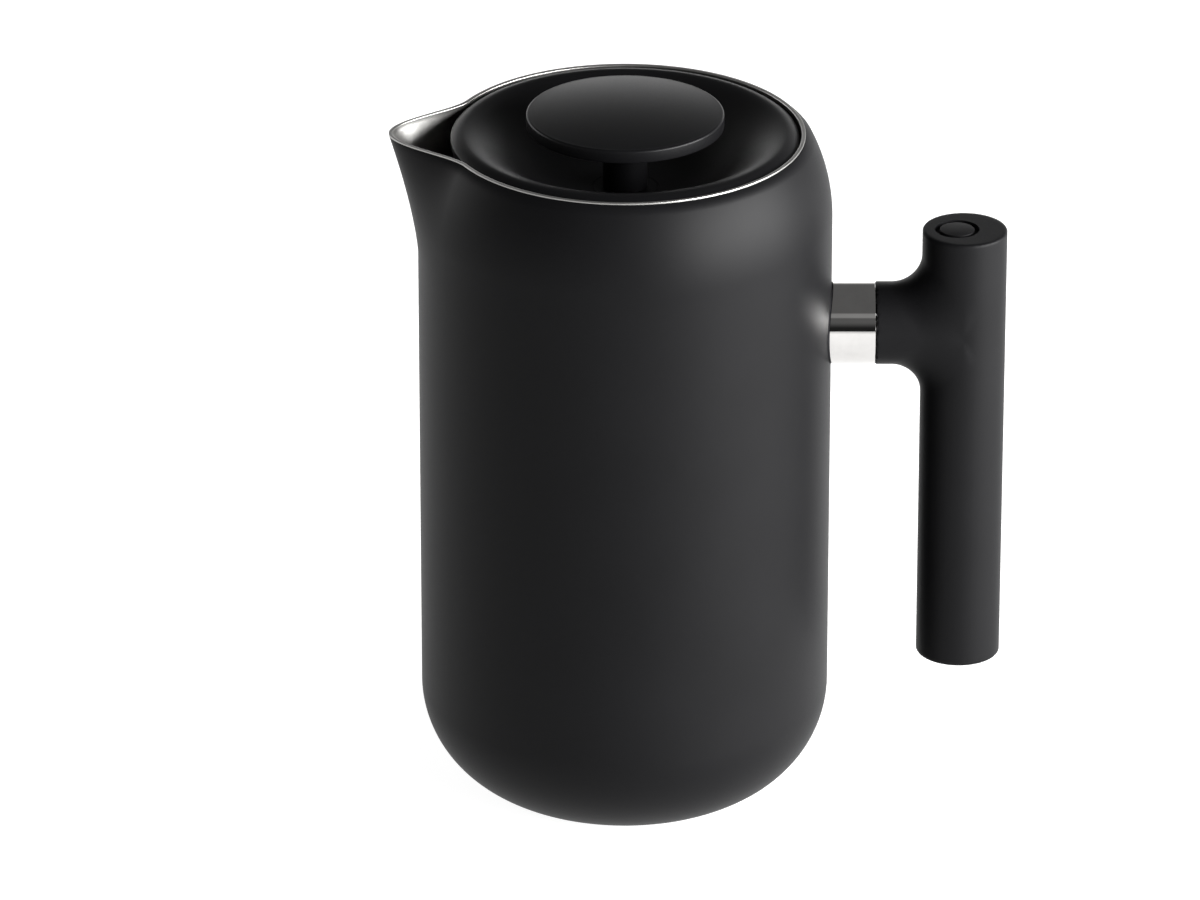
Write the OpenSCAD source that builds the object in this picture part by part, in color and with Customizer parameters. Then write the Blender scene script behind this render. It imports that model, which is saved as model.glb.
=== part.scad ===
// Insulated press for coffee: double-walled vessel, T-shaped handle, lid and plunger.
// The origin is on the vessel's axis at the surface it stands on. +Z is up,
// the handle points to +X and the spout to -X.

/* [Vessel] */
// Outer radius of the vessel
vessel_r = 50; // [46:0.5:60]
// Height of the rim
rim_h = 172.3; // [150:0.5:210]
// Thickness of each steel wall
steel_wall = 0.5; // [0.4:0.05:0.7]
// Radius of the rounding between the side and the base
base_round = 27; // [20:0.5:32]
// Radius of the flat part of the base
base_flat_r = 29.4; // [27:0.2:34]
// How far the shoulder turns in from the side
shoulder_w = 8.5; // [7:0.25:10]
// Height over which the shoulder turns in
shoulder_h = 21.5; // [17:0.5:26]
// Radius of the tight bend next to the rim
crown_r = 4.5; // [3.5:0.25:5.5]
// Height of the bare steel lip
lip_h = 0.4; // [0.3:0.05:1]
// Depth of the mouth down to the ledge that the lid rests on
mouth_depth = 12; // [10:0.5:15]
// Width of that ledge
ledge_w = 0.8; // [0.6:0.1:1.5]
// Height of the floor inside
floor_h = 10; // [8:0.5:14]
// Radius of the rounding between the floor and the bore
floor_round = 12; // [8:0.5:14]

/* [Spout] */
// How far the spout's tip stands out past the vessel's side
spout_reach = 6.8; // [5:0.2:10]
// Height over which the outside of the spout fades into the side
spout_h = 30; // [24:1:40]
// Height over which the channel inside fades into the bore
channel_h = 28; // [22:1:36]
// Half of the angle that the spout takes at the rim
spout_half_angle = 28; // [24:1:36]
// Angle over which the spout's tip is rounded
spout_tip_angle = 8.5; // [4:0.5:12]

/* [Base] */
// Thickness of the pad that the press stands on
pad_t = 1.2; // [1:0.1:2.5]
// How far the pad stays inside the flat part of the base
pad_inset = 0.5; // [0.2:0.1:2]
// Radius of the opening in the base of the shell
base_hole_r = 25; // [20:0.5:26]
// How far the base plate laps over that opening
base_lap = 2.4; // [1.5:0.1:3]
// Radius of the seal disc under the base plate
seal_disc_r = 5; // [4:0.5:8]
// Thickness of the seal disc
seal_disc_t = 0.8; // [0.5:0.1:1]

/* [Handle] */
// Distance of the grip's upright axis from the vessel's side
grip_reach = 32; // [29:0.5:45]
// Radius of the upright grip
grip_r = 10.25; // [9:0.25:12]
// How far the grip's top lies below the rim
grip_top_drop = 25.3; // [15:0.1:40]
// Length of the grip
grip_len = 112.5; // [80:0.5:140]
// Rounding of the grip's ends
grip_edge = 0.5; // [0.3:0.1:2]
// How far the stem's axis lies below the rim
stem_drop = 50; // [42:0.5:60]
// Outer radius of the stem
stem_r = 10.05; // [9:0.05:11]
// Wall of the stem's sleeve
sleeve_wall = 1.4; // [1:0.1:2]
// Length of the sleeve past the vessel's side
sleeve_len = 10.7; // [8:0.1:18]
// Radius of the rounding where the stem runs into the grip
stem_fillet = 8; // [5:0.25:10]
// Radius of the threaded stud
stud_r = 4; // [3:0.5:5]
// Length of the stud past the sleeve
stud_reach = 12; // [9:0.5:16]
// Gap between the stud's saddle plate and the sleeve
saddle_gap = 0.6; // [0.2:0.1:1]
// Thickness of the saddle plate
saddle_t = 1.6; // [1.2:0.1:2.5]
// Thickness of the gasket under the stem
gasket_t = 0.4; // [0.3:0.1:1]
// Radius of the insert in the grip
insert_r = 6.5; // [5.5:0.25:7.5]
// Radius of the grub screw
grub_r = 2; // [1.5:0.25:2.5]
// Radius of the core in the grip
core_r = 5; // [3.5:0.25:6]
// Radius of the round cap on top of the grip
cap_r = 4.2; // [3.5:0.1:5]
// Width of the ring groove around the cap
cap_groove_w = 1.2; // [0.8:0.1:1.5]
// Depth of that groove
cap_groove_d = 1; // [0.5:0.1:1.5]
// How far the cap sits from the grip's axis, towards the vessel
cap_offset = 1.9; // [0:0.1:2.5]

/* [Lid] */
// Gap between the lid's edge and the mouth
lid_gap = 0.5; // [0.4:0.1:1]
// Height of the lid's crest above the rim
crest_rise = 0.4; // [0:0.1:2]
// Distance of the crest from the lid's edge
crest_in = 3; // [2.2:0.1:6]
// How far the lid's edge lies below its crest
edge_drop = 1.4; // [0.8:0.1:2]
// Depth of the dish below the rim
dish_depth = 14; // [12:0.5:16]
// Radius of the flat middle of the dish
dish_flat_r = 11; // [9.5:0.5:14]
// Wall of the lid's cover
cover_t = 2.2; // [1.8:0.1:2.6]
// Height of the cover's edge below the rim
cover_edge_h = 3; // [2.5:0.1:4]
// Height of the lid's skirt below the cover's edge
skirt_h = 21; // [20:0.5:24]
// Wall of the skirt
skirt_t = 2.4; // [2:0.1:3]
// Gap between the skirt and the bore
skirt_gap = 1.2; // [1:0.1:1.8]
// Number of pouring windows in the skirt
window_n = 12; // [8:1:16]
// Width of the ribs between the windows
window_rib = 5; // [3:0.5:8]
// Thickness of the strainer band
band_t = 0.4; // [0.3:0.05:0.6]
// Number of slots in the strainer band
band_slot_n = 48; // [24:1:60]
// Height of the lid's seal ring
ring_h = 5; // [4:0.25:6]
// Thickness of the plate under the lid
underplate_t = 1.5; // [1:0.1:2]
// Number of screws that hold that plate
lid_screw_n = 3; // [3:1:4]
// Radius of the screws' circle
lid_screw_circle_r = 30; // [28:0.5:31]
// Radius of the screws' shanks
lid_screw_r = 1.5; // [1.25:0.25:2]

/* [Plunger] */
// Radius of the rod
rod_r = 2.5; // [2:0.25:3.5]
// Wall of the rod's guide bush
guide_wall = 3.4; // [2.5:0.1:4]
// Width of the bush's flange
guide_flange_w = 2; // [1.5:0.1:2.5]
// Radius of the knob
knob_r = 23.8; // [18:0.2:28]
// Height of the knob's upper edge above the rim
knob_rise = 5.1; // [4:0.1:12]
// Thickness of the knob's edge
knob_edge_t = 3.2; // [2:0.1:4]
// Rounding of the knob's upper edge
knob_edge_r = 0.6; // [0.4:0.1:1]
// Rise of the knob's domed top
knob_dome = 1.6; // [0.4:0.1:2]
// Radius of the knob's neck
neck_r = 5.35; // [5:0.05:7]
// Radius of the hollow curve from the neck to the knob
neck_flare = 6; // [4:0.25:8]
// Height of the filter's lower face above the rounding of the floor
filter_rise = 0.5; // [0.5:0.5:6]
// Thickness of each filter plate
plate_t = 1; // [0.8:0.1:1.5]
// Thickness of the woven screen
screen_t = 0.4; // [0.3:0.1:0.8]
// Width of the filter's silicone edge
edge_seal_w = 2.9; // [2.2:0.1:4]
// Height of that edge
edge_seal_h = 5.4; // [4.5:0.1:8]
// Height of the filter's hub
hub_h = 11.6; // [8:0.2:14]
// Height of the nut under the filter
nut_h = 4; // [3:0.25:5]

/* [Fits] */
// Radial clearance of what turns or slides
running_fit = 0.06; // [0.03:0.01:0.1]
// Gap between a soft seal and the wall it passes
seal_gap = 0.3; // [0.2:0.05:0.5]
// Gap between two faces that only meet at a stop
stop_gap = 0.1; // [0.05:0.05:0.3]

/* [Hidden] */
$fn = 96;
eps = 0.02;        // overrun of a cut past a face
far = 400;         // longer than the whole object

// Vessel
shell_top = rim_h - lip_h;
base_cx = vessel_r - base_round;
base_cz = pad_t + sqrt(pow(base_round, 2) - pow(base_flat_r - base_cx, 2));
shoulder_z = rim_h - shoulder_h + eps;
crown_c = [vessel_r - shoulder_w, shoulder_z + shoulder_h - crown_r];
wide_r = (pow(shoulder_w, 2) + pow(shoulder_h - crown_r, 2) - pow(crown_r, 2))
    / (2 * (shoulder_w - crown_r));
wide_c = [vessel_r - wide_r, shoulder_z];
crown_a = atan2(crown_c.y - wide_c.y, crown_c.x - wide_c.x);
crown_top_a = asin((shell_top - crown_c.y) / crown_r);
crown_steps = 4;
wide_steps = 7;
fade_steps = 3;
base_a = asin((base_cz - pad_t) / base_round);
base_steps = 9;
rim_r = crown_c.x + crown_r * cos(crown_top_a);
mouth_r = rim_r - 2 * steel_wall;
bore_r = mouth_r - ledge_w;
ledge_z = rim_h - mouth_depth;
cut_top = rim_h + 1; // where the form of the bore ends, above the rim
neck_gap = 0.1;      // between the shell's neck and the inner vessel
base_r = base_hole_r + base_lap;
base_plate_t = steel_wall * 1.2;
seal_disc_lap = 2;   // how far the seal disc laps under the base plate

// Spout
spout_tip_r = vessel_r + spout_reach;
spout_rings = 12;
spout_steps = 28;
round_steps = 48;    // steps round the shell, past the spout
spout_apex = 30;     // where the loft's flat sides meet, inside the bore
spout_curve = 1.9;   // sharpness of the spout in plan
side_curve = 1.4;    // curve of the spout's front outside
channel_curve = 1.15;
fade_crowding = 1.5; // crowds the channel's rings together near the rim
seam = 0.05;         // how deep the loft's ends sink under the round wall
spout_spread = sqrt(pow(spout_half_angle, 2) + pow(spout_tip_angle, 2)) - spout_tip_angle;

// Handle
grip_x = vessel_r + grip_reach;
grip_top_h = rim_h - grip_top_drop;
stem_h = rim_h - stem_drop;
saddle_face = vessel_r + saddle_t;
sleeve_end = vessel_r + sleeve_len;
sleeve_r = stem_r - sleeve_wall;
gasket_inset = 0.2;  // how far the gasket stays inside the sleeve's outside
saddle_r = sleeve_r - saddle_gap;
stud_end = sleeve_end + stud_reach;
grip_base_h = grip_top_h - grip_len;
insert_over = 1.5;   // how far the insert runs past the stud
insert_end = stud_end + insert_over;
grub_in = 6;         // distance of the grub screw from the sleeve
grub_x = sleeve_end + grub_in;
grub_inset = 1.2;    // how far the grub screw sits inside the boss
hex_d = 3;           // depth of the key's hole in the boss and the screw
fillet_in = 0.4;     // how far the fillet's end runs into the grip's side
fillet_x = grip_x - grip_r - stem_fillet + fillet_in;
fillet_rings = 10;
fillet_steps = 64;
fillet_turn = 80;    // how far the fillet turns before the grip takes it in
flank_in = 1;        // how far the boss's flanks run in under the grip's round
core_gap = 4;        // how far the core stays from the grip's ends
cap_pocket = 3;      // depth of the cap's pocket
cap_x = grip_x - cap_offset;
plug_t = 2;          // thickness of the plug in the grip's lower end
plug_wall = 3;       // wall of the grip around that plug
plug_r = grip_r - plug_wall;

// Lid
lid_r = mouth_r - lid_gap;
crest_r = lid_r - crest_in;
crest_z = rim_h + crest_rise;
dish_z = rim_h - dish_depth;
dish_steps = 28;
dish_curve = 0.82;   // below 1 the dish falls off faster next to its crest
brim_steps = 8;
cover_drop = cover_t * 1.2;   // the wall measured upright, on the slope of the dish
edge_z = rim_h - cover_edge_h;
skirt_r = bore_r - skirt_gap;
skirt_in_r = skirt_r - skirt_t;
skirt_low = edge_z - skirt_h;
flange_t = 1.5;
flange_z = ledge_z + stop_gap;
window_sill = 0.5;   // above the flange
window_head = 1;     // below the cover's edge
window_low = flange_z + flange_t + window_sill;
window_top = edge_z - window_head;
band_lap = 0.8;      // how far the strainer band laps below the windows
band_low = window_low - band_lap;
slot_w = 1.2;
slot_d = 4;          // depth of the cut for a slot, more than the band's wall
underplate_z = skirt_low + underplate_t;
shelf_t = 1.2;       // inner shelf of the skirt that the plate presses on
shelf_w = 1.6;
groove_z = underplate_z + shelf_t;
groove_d = 1.2;      // depth of the groove for the seal ring
groove_r = skirt_r - groove_d;
lip_n = 5;           // lips of the seal ring and the gaps between them
ring_body_r = skirt_r + 0.1;
guide_r = rod_r + guide_wall;
guide_flange_r = guide_r + guide_flange_w;
guide_flange_t = 1;
boss_wall = 3.4;     // wall of the cover's boss around the bush
boss_r = guide_r + boss_wall;
clip_t = 1;
clip_w = 0.8;        // how deep the snap ring sits in the bush
clip_z = underplate_z - stop_gap - clip_t;
clip_land = 0.8;     // what is left of the bush under the snap ring
guide_low = clip_z - clip_land;
pillar_wall = 2;
pillar_r = lid_screw_r + pillar_wall;
plate_play = 1.5;    // between the plate under the lid and the bush's flange
lid_screw_len = 7;   // length of the screws' thread in the pillars
screw_play = 1;      // how much deeper the threaded holes are
screw_head_h = 1.8;
screw_slot_w = 0.8;
flow_n = 6;
flow_r = 7;
flow_circle_r = 21;

// Plunger
filter_h = floor_h + floor_round + filter_rise;
neck_low = dish_z + stop_gap;
knob_z = rim_h + knob_rise;
knob_low = knob_z - knob_edge_t;
knob_lap = 1.2;      // how deep and how far in the underside nests in the top
dome_r = knob_r - knob_edge_r;
dome_steps = 12;
insert_in = 1.6;     // how far the insert sits inside the neck's end
insert_low = neck_low + insert_in;
insert_cover = 4;    // how far the insert stays below the knob's underside
insert_top = knob_low - insert_cover;
insert_wall = 1.3;
thread_spare = 1;    // thread of the insert that the rod leaves free
rod_top = insert_top - thread_spare;
rod_low = filter_h - nut_h;
screen_z = filter_h + plate_t;
top_plate_z = screen_z + screen_t;
hub_z = top_plate_z + plate_t;
seal_r = bore_r - seal_gap;
plate_r = seal_r - edge_seal_w;
screen_r = seal_r - edge_seal_w / 2;
hub_r = 9;
nut_wall = 3.5;      // from the rod to the nut's corners
nut_r = rod_r + nut_wall;
hub_wall = 2;        // wall of the hub at its upper end
plate_hole_n = 8;
plate_hole_r = 6;
plate_hole_circle_r = plate_r * 0.6;
sieve_rings = 3;
sieve_hole_r = 2.4;
sieve_pitch = plate_r * 0.28;
seal_lap = 0.4;      // how far the filter's edge stands below its plate

// ---- outlines ----

// How far the spout stands out at an angle from its middle, from 1 at the tip to 0
function spout_bump(a) =
    let (s = sqrt(a * a + pow(spout_tip_angle, 2)) - spout_tip_angle)
    pow(max(0, 1 - s / spout_spread), spout_curve);

// Plan of the spout between a round wall and its tip, as a sector that opens to -X
function spout_plan(wall_r, tip_r) = concat(
    [[-spout_apex, 0]],
    [for (i = [0 : spout_steps])
        let (
            a = spout_half_angle * (2 * i / spout_steps - 1),
            r = wall_r - seam + (tip_r - wall_r + seam) * spout_bump(a)
        )
        [-r * cos(a), r * sin(a)]]
);

// Half outline of the shell, from its neck down to the opening in its base, moved in by a wall
function shell_profile(inset) = concat(
    [for (i = [0 : crown_steps])
        let (t = crown_top_a + (crown_a - crown_top_a) * i / crown_steps)
        crown_c + (crown_r - inset) * [cos(t), sin(t)]],
    [for (i = [1 : wide_steps])
        let (t = crown_a * (1 - i / wide_steps))
        wide_c + (wide_r - inset) * [cos(t), sin(t)]],
    [for (i = [1 : fade_steps])
        [vessel_r - inset, shoulder_z + (shell_top - spout_h - shoulder_z) * i / fade_steps]],
    [for (i = [0 : base_steps])
        let (t = -base_a * i / base_steps)
        [base_cx, base_cz] + (base_round - inset) * [cos(t), sin(t)]],
    [[base_hole_r, pad_t + inset]]
);

// Plan of the shell at a point of its half outline, with the spout to -X
function shell_plan(p, inset) =
    let (
        fade = (shell_top - p.y) / spout_h,
        tip_r = fade < 1 ? vessel_r + spout_reach * pow(1 - fade, side_curve) - inset : p.x
    )
    [for (a = concat(
        [for (i = [0 : spout_steps]) spout_half_angle * (2 * i / spout_steps - 1)],
        [for (i = [1 : round_steps - 1])
            spout_half_angle + (360 - 2 * spout_half_angle) * i / round_steps]
    ))
        let (r = p.x + (tip_r - p.x) * spout_bump(a))
        [-r * cos(a), r * sin(a)]];

// Height of the lid's upper face at radius r
function lid_top(r) =
    r > crest_r
        ? crest_z - edge_drop * pow((r - crest_r) / (lid_r - crest_r), 2)
        : r < dish_flat_r ? dish_z
        : let (share = pow((crest_r - r) / (crest_r - dish_flat_r), dish_curve))
        crest_z - (crest_z - dish_z) * (1 - cos(180 * share)) / 2;

// Solid through plans of equal length, one at each height. Between caps it runs from the
// highest to the lowest; as a ring it goes down the outside and up the inside.
module loft(plans, heights, ring = false) {
    m = len(plans[0]);
    n = len(plans);
    points = [for (i = [0 : n - 1]) for (p = plans[i]) [p.x, p.y, heights[i]]];
    sides = [
        for (i = [0 : n - (ring ? 1 : 2)]) for (k = [0 : m - 1])
            let (a = i * m + k, b = i * m + (k + 1) % m, down = (i + 1) % n * m - i * m)
            each [[b, a, a + down], [b, a + down, b + down]]
    ];
    caps = [[for (k = [0 : m - 1]) k], [for (k = [m - 1 : -1 : 0]) (n - 1) * m + k]];
    polyhedron(points, concat(ring ? [] : caps, sides));
}

// Half outline of the space inside the vessel, moved out by a wall
module bore_profile(grow) {
    translate([bore_r - floor_round, floor_h + floor_round]) circle(floor_round + grow);
    translate([0, floor_h - grow]) square([bore_r - floor_round, floor_round + grow]);
    translate([0, floor_h + floor_round])
        square([bore_r + grow, ledge_z - floor_h - floor_round]);
    translate([0, ledge_z - grow]) square([mouth_r + grow, cut_top - ledge_z + grow]);
}

// Everything inside the bore, moved out by a wall
module bore_form(grow) {
    tip_r = spout_tip_r - 2 * steel_wall;
    fades = [for (i = [0 : spout_rings]) pow(i / spout_rings, fade_crowding)];
    rotate_extrude() bore_profile(grow);
    loft(
        concat(
            [spout_plan(bore_r + grow, tip_r + grow)],
            [for (f = fades)
                spout_plan(
                    bore_r + grow,
                    bore_r + (tip_r - bore_r) * pow(1 - f, channel_curve) + grow
                )]
        ),
        concat([cut_top], [for (f = fades) shell_top - channel_h * f])
    );
}

module below(z) {
    translate([-far / 2, -far / 2, z - far]) cube(far);
}

module tube(r, inner_r, h) {
    difference() {
        cylinder(h = h, r = r);
        translate([0, 0, -eps]) cylinder(h = h + 2 * eps, r = inner_r);
    }
}

// Round bar along the stem's axis, from one distance to another
module along_stem(x0, x1, r) {
    translate([x0, 0, stem_h]) rotate([0, 90, 0]) cylinder(h = x1 - x0, r = r);
}

module around(n, r, turn = 0) {
    for (i = [0 : n - 1]) rotate(turn + 360 * i / n) translate([r, 0, 0]) children();
}

// ---- vessel ----

module outer_shell() {
    outside = shell_profile(0);
    inside = concat([[mouth_r + steel_wall + neck_gap, shell_top]], shell_profile(steel_wall));
    up = [for (i = [len(inside) - 1 : -1 : 0]) inside[i]];
    color("#26262a")
    loft(
        concat([for (p = outside) shell_plan(p, 0)], [for (p = up) shell_plan(p, steel_wall)]),
        [for (p = concat(outside, up)) p.y],
        ring = true
    );
}

module inner_vessel() {
    color("#c9c9c6")
    difference() {
        union() {
            intersection() {
                bore_form(steel_wall);
                below(shell_top + eps);
            }
            translate([0, 0, shell_top]) cylinder(h = lip_h, r = rim_r);
            translate([0, 0, shell_top]) linear_extrude(lip_h)
                polygon(spout_plan(rim_r, spout_tip_r));
        }
        bore_form(0);
    }
}

module base_plate() {
    color("#b4b5b6")
    translate([0, 0, pad_t + steel_wall]) tube(base_r, seal_disc_r - seal_disc_lap, base_plate_t);
}

module vacuum_seal() {
    color("#9c9d9f")
    translate([0, 0, pad_t + steel_wall - seal_disc_t]) cylinder(h = seal_disc_t, r = seal_disc_r);
}

module base_pad() {
    color("#3a3a3c")
    difference() {
        union() {
            cylinder(h = pad_t, r = base_flat_r - pad_inset);
            cylinder(h = pad_t + steel_wall, r = base_hole_r - neck_gap);
        }
        translate([0, 0, pad_t + steel_wall - seal_disc_t]) cylinder(h = far, r = seal_disc_r);
    }
}

// ---- handle ----

module handle_stud() {
    color("#a9abad")
    difference() {
        union() {
            along_stem(vessel_r - saddle_t, saddle_face, saddle_r);
            along_stem(vessel_r, stud_end, stud_r);
        }
        cylinder(h = far, r = vessel_r);
    }
}

module stem_gasket() {
    color("#2c2c2e")
    intersection() {
        difference() {
            along_stem(vessel_r - sleeve_r, saddle_face, stem_r - gasket_inset);
            along_stem(0, far, sleeve_r);
        }
        difference() {
            cylinder(h = far, r = vessel_r + gasket_t);
            cylinder(h = far, r = vessel_r);
        }
    }
}

module stem_sleeve() {
    color("#e6e6e4")
    difference() {
        along_stem(vessel_r - sleeve_r, sleeve_end, stem_r);
        along_stem(0, far, sleeve_r);
        cylinder(h = far, r = vessel_r + gasket_t);
    }
}

module stem_spacer() {
    color("#d8d4c8")
    difference() {
        along_stem(saddle_face, sleeve_end, sleeve_r);
        along_stem(0, far, stud_r);
    }
}

// Boss from the stem to the upright grip, which grows taller in a round where they meet
module grip_boss() {
    turns = [for (i = [0 : fillet_rings]) fillet_turn * i / fillet_rings];
    starts = [for (t = turns) fillet_x + stem_fillet * sin(t)];
    rotate([0, 90, 0]) loft(
        concat(
            [boss_plan(stem_r + stem_fillet * (1 - cos(fillet_turn)), stem_r - flank_in)],
            [for (i = [fillet_rings : -1 : 0])
                boss_plan(
                    stem_r + stem_fillet * (1 - cos(turns[i])),
                    stem_r - flank_in * (starts[i] - fillet_x) / (grip_x - fillet_x)
                )],
            [boss_plan(stem_r, stem_r)]
        ),
        concat([grip_x], [for (i = [fillet_rings : -1 : 0]) starts[i]], [sleeve_end])
    );
}

// Section across the boss, seen along the stem
function boss_plan(tall, wide) = [
    for (k = [0 : fillet_steps - 1])
        let (t = -360 * k / fillet_steps)
        [-stem_h + tall * cos(t), wide * sin(t)]
];

module grip() {
    color("#232326")
    difference() {
        union() {
            translate([grip_x, 0, grip_base_h]) rotate_extrude() {
                translate([0, grip_edge]) square([grip_r, grip_len - 2 * grip_edge]);
                square([grip_r - grip_edge, grip_len]);
                for (z = [grip_edge, grip_len - grip_edge])
                    translate([grip_r - grip_edge, z]) circle(grip_edge);
            }
            grip_boss();
        }
        along_stem(sleeve_end - eps, insert_end, insert_r);
        translate([grub_x, 0, stem_h - 2 * stem_r]) cylinder(h = 2 * stem_r, r = grub_r);
        translate([grip_x, 0, grip_base_h + core_gap]) cylinder(h = grip_len - 2 * core_gap, r = core_r);
        translate([cap_x, 0, grip_top_h - cap_pocket]) cylinder(h = far, r = cap_r + cap_groove_w);
        translate([grip_x, 0, grip_base_h - eps]) cylinder(h = plug_t + eps, r = plug_r);
    }
}

module grip_insert() {
    color("#c9a24a")
    difference() {
        along_stem(sleeve_end, insert_end, insert_r);
        along_stem(sleeve_end - eps, stud_end, stud_r);
        translate([grub_x, 0, stem_h - 2 * stem_r]) cylinder(h = 2 * stem_r, r = grub_r);
    }
}

module grip_set_screw() {
    color("#56585b")
    difference() {
        translate([grub_x, 0, stem_h - stem_r + grub_inset])
            cylinder(h = stem_r - grub_inset, r = grub_r);
        along_stem(0, far, stud_r);
        translate([grub_x, 0, stem_h - stem_r]) cylinder(h = hex_d, r = grub_r / 2, $fn = 6);
    }
}

module grip_core() {
    color("#b4b5b6")
    translate([grip_x, 0, grip_base_h + core_gap]) cylinder(h = grip_len - 2 * core_gap, r = core_r);
}

module grip_top_cap() {
    color("#232326")
    translate([cap_x, 0, grip_top_h - cap_pocket]) {
        cylinder(h = cap_pocket - cap_groove_d, r = cap_r + cap_groove_w);
        cylinder(h = cap_pocket, r = cap_r);
    }
}

module grip_end_cap() {
    color("#2c2c2e")
    translate([grip_x, 0, grip_base_h]) cylinder(h = plug_t, r = plug_r);
}

// ---- lid ----

module lid_cover() {
    inner_edge = lid_r - cover_t;
    top = [for (i = [0 : dish_steps]) dish_flat_r + (crest_r - dish_flat_r) * i / dish_steps];
    edge = [for (i = [1 : brim_steps]) crest_r + (lid_r - crest_r) * i / brim_steps];
    under = [for (i = [dish_steps : -1 : 0])
        dish_flat_r + (inner_edge - dish_flat_r) * i / dish_steps];
    color("#1d1d20")
    difference() {
        union() {
            rotate_extrude() polygon(concat(
                [[0, dish_z]],
                [for (r = concat(top, edge)) [r, lid_top(r)]],
                [[lid_r, edge_z], [inner_edge, edge_z]],
                [for (r = under) [r, lid_top(r) - cover_drop]],
                [[0, dish_z - cover_drop]]
            ));
            translate([0, 0, underplate_z])
                cylinder(h = dish_z - underplate_z - cover_drop / 2, r = boss_r);
            around(lid_screw_n, lid_screw_circle_r) translate([0, 0, underplate_z])
                cylinder(h = lid_top(lid_screw_circle_r - pillar_r) - underplate_z - cover_drop / 2,
                    r = pillar_r);
        }
        cylinder(h = far, r = guide_r + running_fit);
        translate([0, 0, dish_z - guide_flange_t - stop_gap])
            cylinder(h = far, r = guide_flange_r + running_fit);
        around(lid_screw_n, lid_screw_circle_r) translate([0, 0, underplate_z - eps])
            cylinder(h = lid_screw_len + screw_play, r = lid_screw_r);
    }
}

module lid_skirt() {
    color("#1d1d20")
    difference() {
        union() {
            translate([0, 0, skirt_low]) tube(skirt_r, skirt_in_r, skirt_h);
            translate([0, 0, flange_z]) tube(lid_r, skirt_in_r, flange_t);
            translate([0, 0, underplate_z]) tube(groove_r, skirt_in_r - shelf_w, shelf_t);
        }
        translate([0, 0, groove_z]) tube(far, groove_r, ring_h + 2 * stop_gap);
        for (i = [0 : window_n - 1]) rotate(360 * (i + 0.5) / window_n) translate([
            skirt_in_r / 2,
            window_rib / 2 - PI * skirt_in_r / window_n,
            window_low
        ])
            cube([skirt_in_r, 2 * PI * skirt_in_r / window_n - window_rib, window_top - window_low]);
    }
}

module strainer_band() {
    color("#bfc0be")
    difference() {
        translate([0, 0, band_low]) tube(skirt_in_r, skirt_in_r - band_t, edge_z - band_low);
        around(band_slot_n, skirt_in_r) translate([-slot_d / 2, -slot_w / 2, window_low])
            cube([slot_d, slot_w, window_top - window_low]);
    }
}

module lid_underplate() {
    color("#1d1d20")
    difference() {
        translate([0, 0, skirt_low]) tube(skirt_in_r, guide_flange_r + plate_play, underplate_t);
        around(flow_n, flow_circle_r, 30) cylinder(h = far, r = flow_r);
        around(lid_screw_n, lid_screw_circle_r) cylinder(h = far, r = lid_screw_r);
    }
}

module lid_screws() {
    color("#8c8e91")
    around(lid_screw_n, lid_screw_circle_r) translate([0, 0, skirt_low]) difference() {
        union() {
            translate([0, 0, -screw_head_h]) cylinder(h = screw_head_h, r = 2 * lid_screw_r);
            cylinder(h = underplate_t + lid_screw_len, r = lid_screw_r);
        }
        for (a = [0, 90]) rotate(a) translate([-lid_screw_r, -screw_slot_w / 2, -screw_head_h - eps])
            cube([2 * lid_screw_r, screw_slot_w, screw_head_h / 2]);
    }
}

module lid_gasket() {
    low = groove_z + stop_gap;
    color("#2c2c2e")
    difference() {
        translate([0, 0, low]) tube(bore_r - seal_gap, groove_r + running_fit, ring_h);
        for (i = [1, 3]) translate([0, 0, low + i * ring_h / lip_n]) tube(far, ring_body_r, ring_h / lip_n);
    }
}

module rod_guide() {
    color("#2c2c2e")
    difference() {
        union() {
            translate([0, 0, guide_low]) cylinder(h = dish_z - guide_low, r = guide_r);
            translate([0, 0, dish_z - guide_flange_t]) cylinder(h = guide_flange_t, r = guide_flange_r);
        }
        cylinder(h = far, r = rod_r + running_fit);
        translate([0, 0, clip_z]) tube(far, guide_r - clip_w, clip_t);
    }
}

module guide_clip() {
    color("#8c8e91")
    translate([0, 0, clip_z]) tube(guide_flange_r, guide_r - clip_w, clip_t);
}

// ---- plunger ----

module knob_top() {
    color("#232326")
    difference() {
        translate([0, 0, knob_low]) rotate_extrude() {
            square([knob_r, knob_edge_t - knob_edge_r]);
            translate([knob_r - knob_edge_r, knob_edge_t - knob_edge_r]) circle(knob_edge_r);
            square([knob_r - knob_edge_r, knob_edge_t]);
            polygon(concat(
                [[0, 0]],
                [for (i = [dome_steps : -1 : 0])
                    let (f = i / dome_steps)
                    [f * dome_r, knob_edge_t + knob_dome * (1 - f * f)]]
            ));
        }
        translate([0, 0, knob_low - eps]) cylinder(h = knob_lap + eps, r = knob_r - knob_lap);
    }
}

module knob_base() {
    flare_x = neck_r + neck_flare;
    flare_z = knob_low - neck_flare;
    color("#232326")
    difference() {
        rotate_extrude() {
            translate([0, neck_low]) square([neck_r, knob_low - neck_low]);
            difference() {
                translate([0, flare_z]) square([flare_x, neck_flare]);
                translate([flare_x, flare_z]) circle(neck_flare);
            }
            translate([0, knob_low]) square([knob_r - knob_lap, knob_lap]);
        }
        cylinder(h = rod_top, r = rod_r);
        translate([0, 0, insert_low]) cylinder(h = insert_top - insert_low, r = rod_r + insert_wall);
    }
}

module knob_insert() {
    color("#c9a24a")
    difference() {
        translate([0, 0, insert_low]) cylinder(h = insert_top - insert_low, r = rod_r + insert_wall);
        cylinder(h = rod_top, r = rod_r);
    }
}

module plunger_rod() {
    color("#d9d9d6")
    translate([0, 0, rod_low]) cylinder(h = rod_top - rod_low, r = rod_r);
}

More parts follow.
